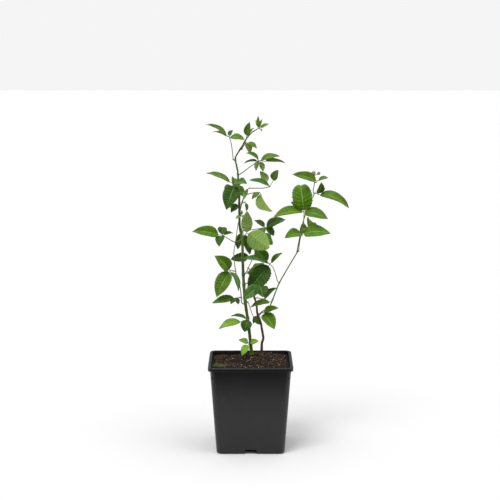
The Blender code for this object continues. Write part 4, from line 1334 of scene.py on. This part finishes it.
def make_crumbs(half, materials):
    """Loose crumbs on the bed, realized from one lumpy shape."""
    rng = random.Random("crumb")
    bm = bmesh.new()
    bmesh.ops.create_icosphere(bm, subdivisions=1, radius=1.0)
    for vert in bm.verts:
        vert.co *= rng.uniform(*LUMP_RADII)
    lump = add_bmesh("lump", bm)
    sheet = bed_sheet("compost_crumbs", half - CRUMB_MARGIN, CRUMB_CELLS, [])
    crumbs = run_tree(sheet, crumb_tree(lump), {
        "Density": CRUMB_DENSITY, "Smallest": CRUMB_RADII[0], "Largest": CRUMB_RADII[1],
        "Seed": CRUMB_SEED, "Material": materials["crumb"]})
    bpy.data.objects.remove(lump, do_unlink=True)
    hand_in(crumbs, "compost")


def make_fibres(half, materials, tree):
    """Fine curling fibres that lie on the bed."""
    rng = random.Random("fibre")
    runs = []
    while len(runs) < FIBRES:
        x, y = rng.uniform(-half, half) * FIBRE_REACH, rng.uniform(-half, half) * FIBRE_REACH
        heading, bend = rng.uniform(0, math.tau), rng.uniform(-FIBRE_BEND, FIBRE_BEND)
        thick = rng.choice(FIBRE_RADII)
        run = []
        for _ in range(rng.randint(*FIBRE_STEPS)):
            if max(abs(x), abs(y)) > half - FIBRE_MARGIN:
                break
            lift = FIBRE_LIFT[0] + FIBRE_LIFT[1] * rng.random()
            run.append((Vector((x, y, fine_bed(x, y) + lift)), thick))
            x += FIBRE_STEP * math.cos(heading)
            y += FIBRE_STEP * math.sin(heading)
            heading += bend + rng.uniform(-FIBRE_CURL, FIBRE_CURL)
        if len(run) > 2:
            runs.append(run)
    fibres = swept("peat_fibres", runs, materials["fibre"], tree, FIBRE_STEP / 2,
                   FIBRE_SIDES)
    hand_in(fibres, "compost")


def chip_place(rng, half, patch):
    """A random place on the bed, within a patch (x, y, reach) where one is given."""
    if patch is None:
        reach = half - CHIP_MARGIN
        return rng.uniform(-1, 1) * reach, rng.uniform(-1, 1) * reach
    away = patch[2] * math.sqrt(rng.random())
    way = rng.uniform(0, math.tau)
    return patch[0] + away * math.cos(way), patch[1] + PATCH_DEPTH * away * math.sin(way)


def make_chips(name, count, size, flatness, material, patch, half):
    """Angular chips of one kind, lying on the bed."""
    rng = random.Random(name)
    verts, faces = [], []
    for _ in range(count):
        x, y = chip_place(rng, half, patch)
        radius = size * rng.uniform(*CHIP_SIZES)
        bm = bmesh.new()
        bmesh.ops.create_icosphere(bm, subdivisions=1, radius=radius)
        turn = Matrix.Rotation(rng.uniform(0, math.tau), 4, "Z") @ Matrix.Rotation(
            rng.uniform(-CHIP_TILT, CHIP_TILT), 4, "X")
        stretch = Vector((rng.uniform(*CHIP_LENGTHS), 1.0, flatness))
        place = Vector((x, y, fine_bed(x, y) + 0.5 * radius * flatness + CHIP_LIFT))
        start = len(verts)
        for vert in bm.verts:
            local = Vector(c * s * rng.uniform(*CHIP_JITTER) for c, s in zip(vert.co, stretch))
            verts.append(place + turn @ local)
        bm.verts.index_update()
        faces += [tuple(start + v.index for v in face.verts) for face in bm.faces]
        bm.free()
    hand_in(mesh_object(name, verts, faces, [material]), "compost")


def make_pot(materials):
    """The pot as in the solids, with finer corners and softened edges."""
    cutters = bpy.data.collections.new("cutters")
    scene.collection.children.link(cutters)
    shelf = POT_HEIGHT - RIM_DROP
    profile = widths_at(0.0) + [
        (NECK_WIDTH, shelf + RIM_SHELF), (RIM_WIDTH, shelf + 2 * RIM_SHELF),
        (RIM_WIDTH, POT_HEIGHT - RIM_CHAMFER), (RIM_WIDTH - 2 * RIM_CHAMFER, POT_HEIGHT)]
    pot = add_bmesh("pot", tapered_block(profile, POT_CORNER))
    for cutter in (notch_bars(0.0, cutters), pot_hollow(cutters), rim_groove(cutters),
                   drain_holes(cutters)):
        cut(pot, cutter)
    bake(pot)
    for used in list(cutters.objects):
        bpy.data.objects.remove(used, do_unlink=True)
    pot.data.materials.clear()
    pot.data.materials.append(materials["pot"])
    soft = pot.modifiers.new("soft_edges", "BEVEL")
    soft.width = EDGE_SOFTNESS
    soft.segments = 2
    soft.limit_method = "ANGLE"
    soft.angle_limit = math.radians(EDGE_ANGLE)
    bake(pot)
    pot.data.shade_smooth()
    pot.data.set_sharp_from_angle(angle=math.radians(SHARP_ANGLE))
    hand_in(pot, "pot_plastic", "pot")


def make_floor():
    """A pale paper floor that ends short of the camera."""
    bm = bmesh.new()
    corners = ((-FLOOR_REACH, FLOOR_FRONT), (FLOOR_REACH, FLOOR_FRONT),
               (FLOOR_REACH, FLOOR_REACH), (-FLOOR_REACH, FLOOR_REACH))
    bm.faces.new([bm.verts.new((x, y, -FLOOR_DROP)) for x, y in corners])
    floor = add_bmesh("studio_floor", bm)
    # Uncoated paper: matte and nearly even
    floor.data.materials.append(finish("pale_paper", 0.9, ("f4f4f4", "f6f6f6"), 0.5))


def make_air():
    """Soft air that lights from above and from the sides, behind an even backdrop."""
    world = bpy.data.worlds.new("studio_air")
    scene.world = world
    world.use_nodes = True
    tree = world.node_tree
    seen = tree.nodes["Background"]
    seen.inputs["Color"].default_value = linear(BACKDROP)
    place = add_node(tree, "ShaderNodeTexCoord").outputs["Generated"]
    height = add_node(tree, "ShaderNodeSeparateXYZ", Vector=place).outputs["Z"]
    glow = add_node(tree, "ShaderNodeMapRange", {
        "From Min": AIR_LEVELS[0], "From Max": AIR_LEVELS[1], "To Min": AIR_BELOW,
        "To Max": AIR_STRENGTH}, Value=height)
    lighting = add_node(tree, "ShaderNodeBackground", {"Color": (1, 1, 1, 1)},
                        Strength=glow.outputs["Result"])
    rays = add_node(tree, "ShaderNodeLightPath")
    mix = add_node(tree, "ShaderNodeMixShader", n0=rays.outputs["Is Camera Ray"],
                   n1=lighting.outputs["Background"], n2=seen.outputs["Background"])
    tree.links.new(mix.outputs["Shader"], tree.nodes["World Output"].inputs["Surface"])


def make_lights():
    """Two wide soft lights, a key from the left and a weaker one from the right."""
    for name, strength, spread, way in STUDIO_SUNS:
        lamp = bpy.data.lights.new(name, "SUN")
        lamp.energy = strength
        lamp.angle = math.radians(spread)
        holder = add_object(name, lamp)
        holder.rotation_euler = (-Vector(way)).to_track_quat("-Z", "Y").to_euler()


def make_camera():
    """The camera at the photograph's viewing angle."""
    lens = bpy.data.cameras.new("camera")
    lens.sensor_width = CAMERA_SENSOR
    lens.lens = CAMERA_LENS
    camera = add_object("camera", lens)
    camera.location = CAMERA_PLACE
    camera.rotation_euler = (math.radians(90 - CAMERA_DOWN), 0, 0)
    scene.camera = camera
    scene.view_settings.view_transform = "Standard"


def main():
    """Dress the plant and its pot."""
    materials = other_materials()
    leaf_skins = leaf_materials()
    stems = sweep_tree()
    limbs = make_limbs()
    half = room_half()
    make_pot(materials)
    make_bed(half, materials)
    make_crumbs(half, materials)
    make_fibres(half, materials, stems)
    for name, count, size, flatness, finish_name, patch in CHIPS:
        make_chips(name, count, size, flatness, materials[finish_name], patch, half)
    make_canes(limbs, materials, stems)
    make_foliage(limbs, leaf_skins, materials, stems)
    make_buds(limbs, materials, stems)
    make_floor()
    make_air()
    make_lights()
    make_camera()


main()
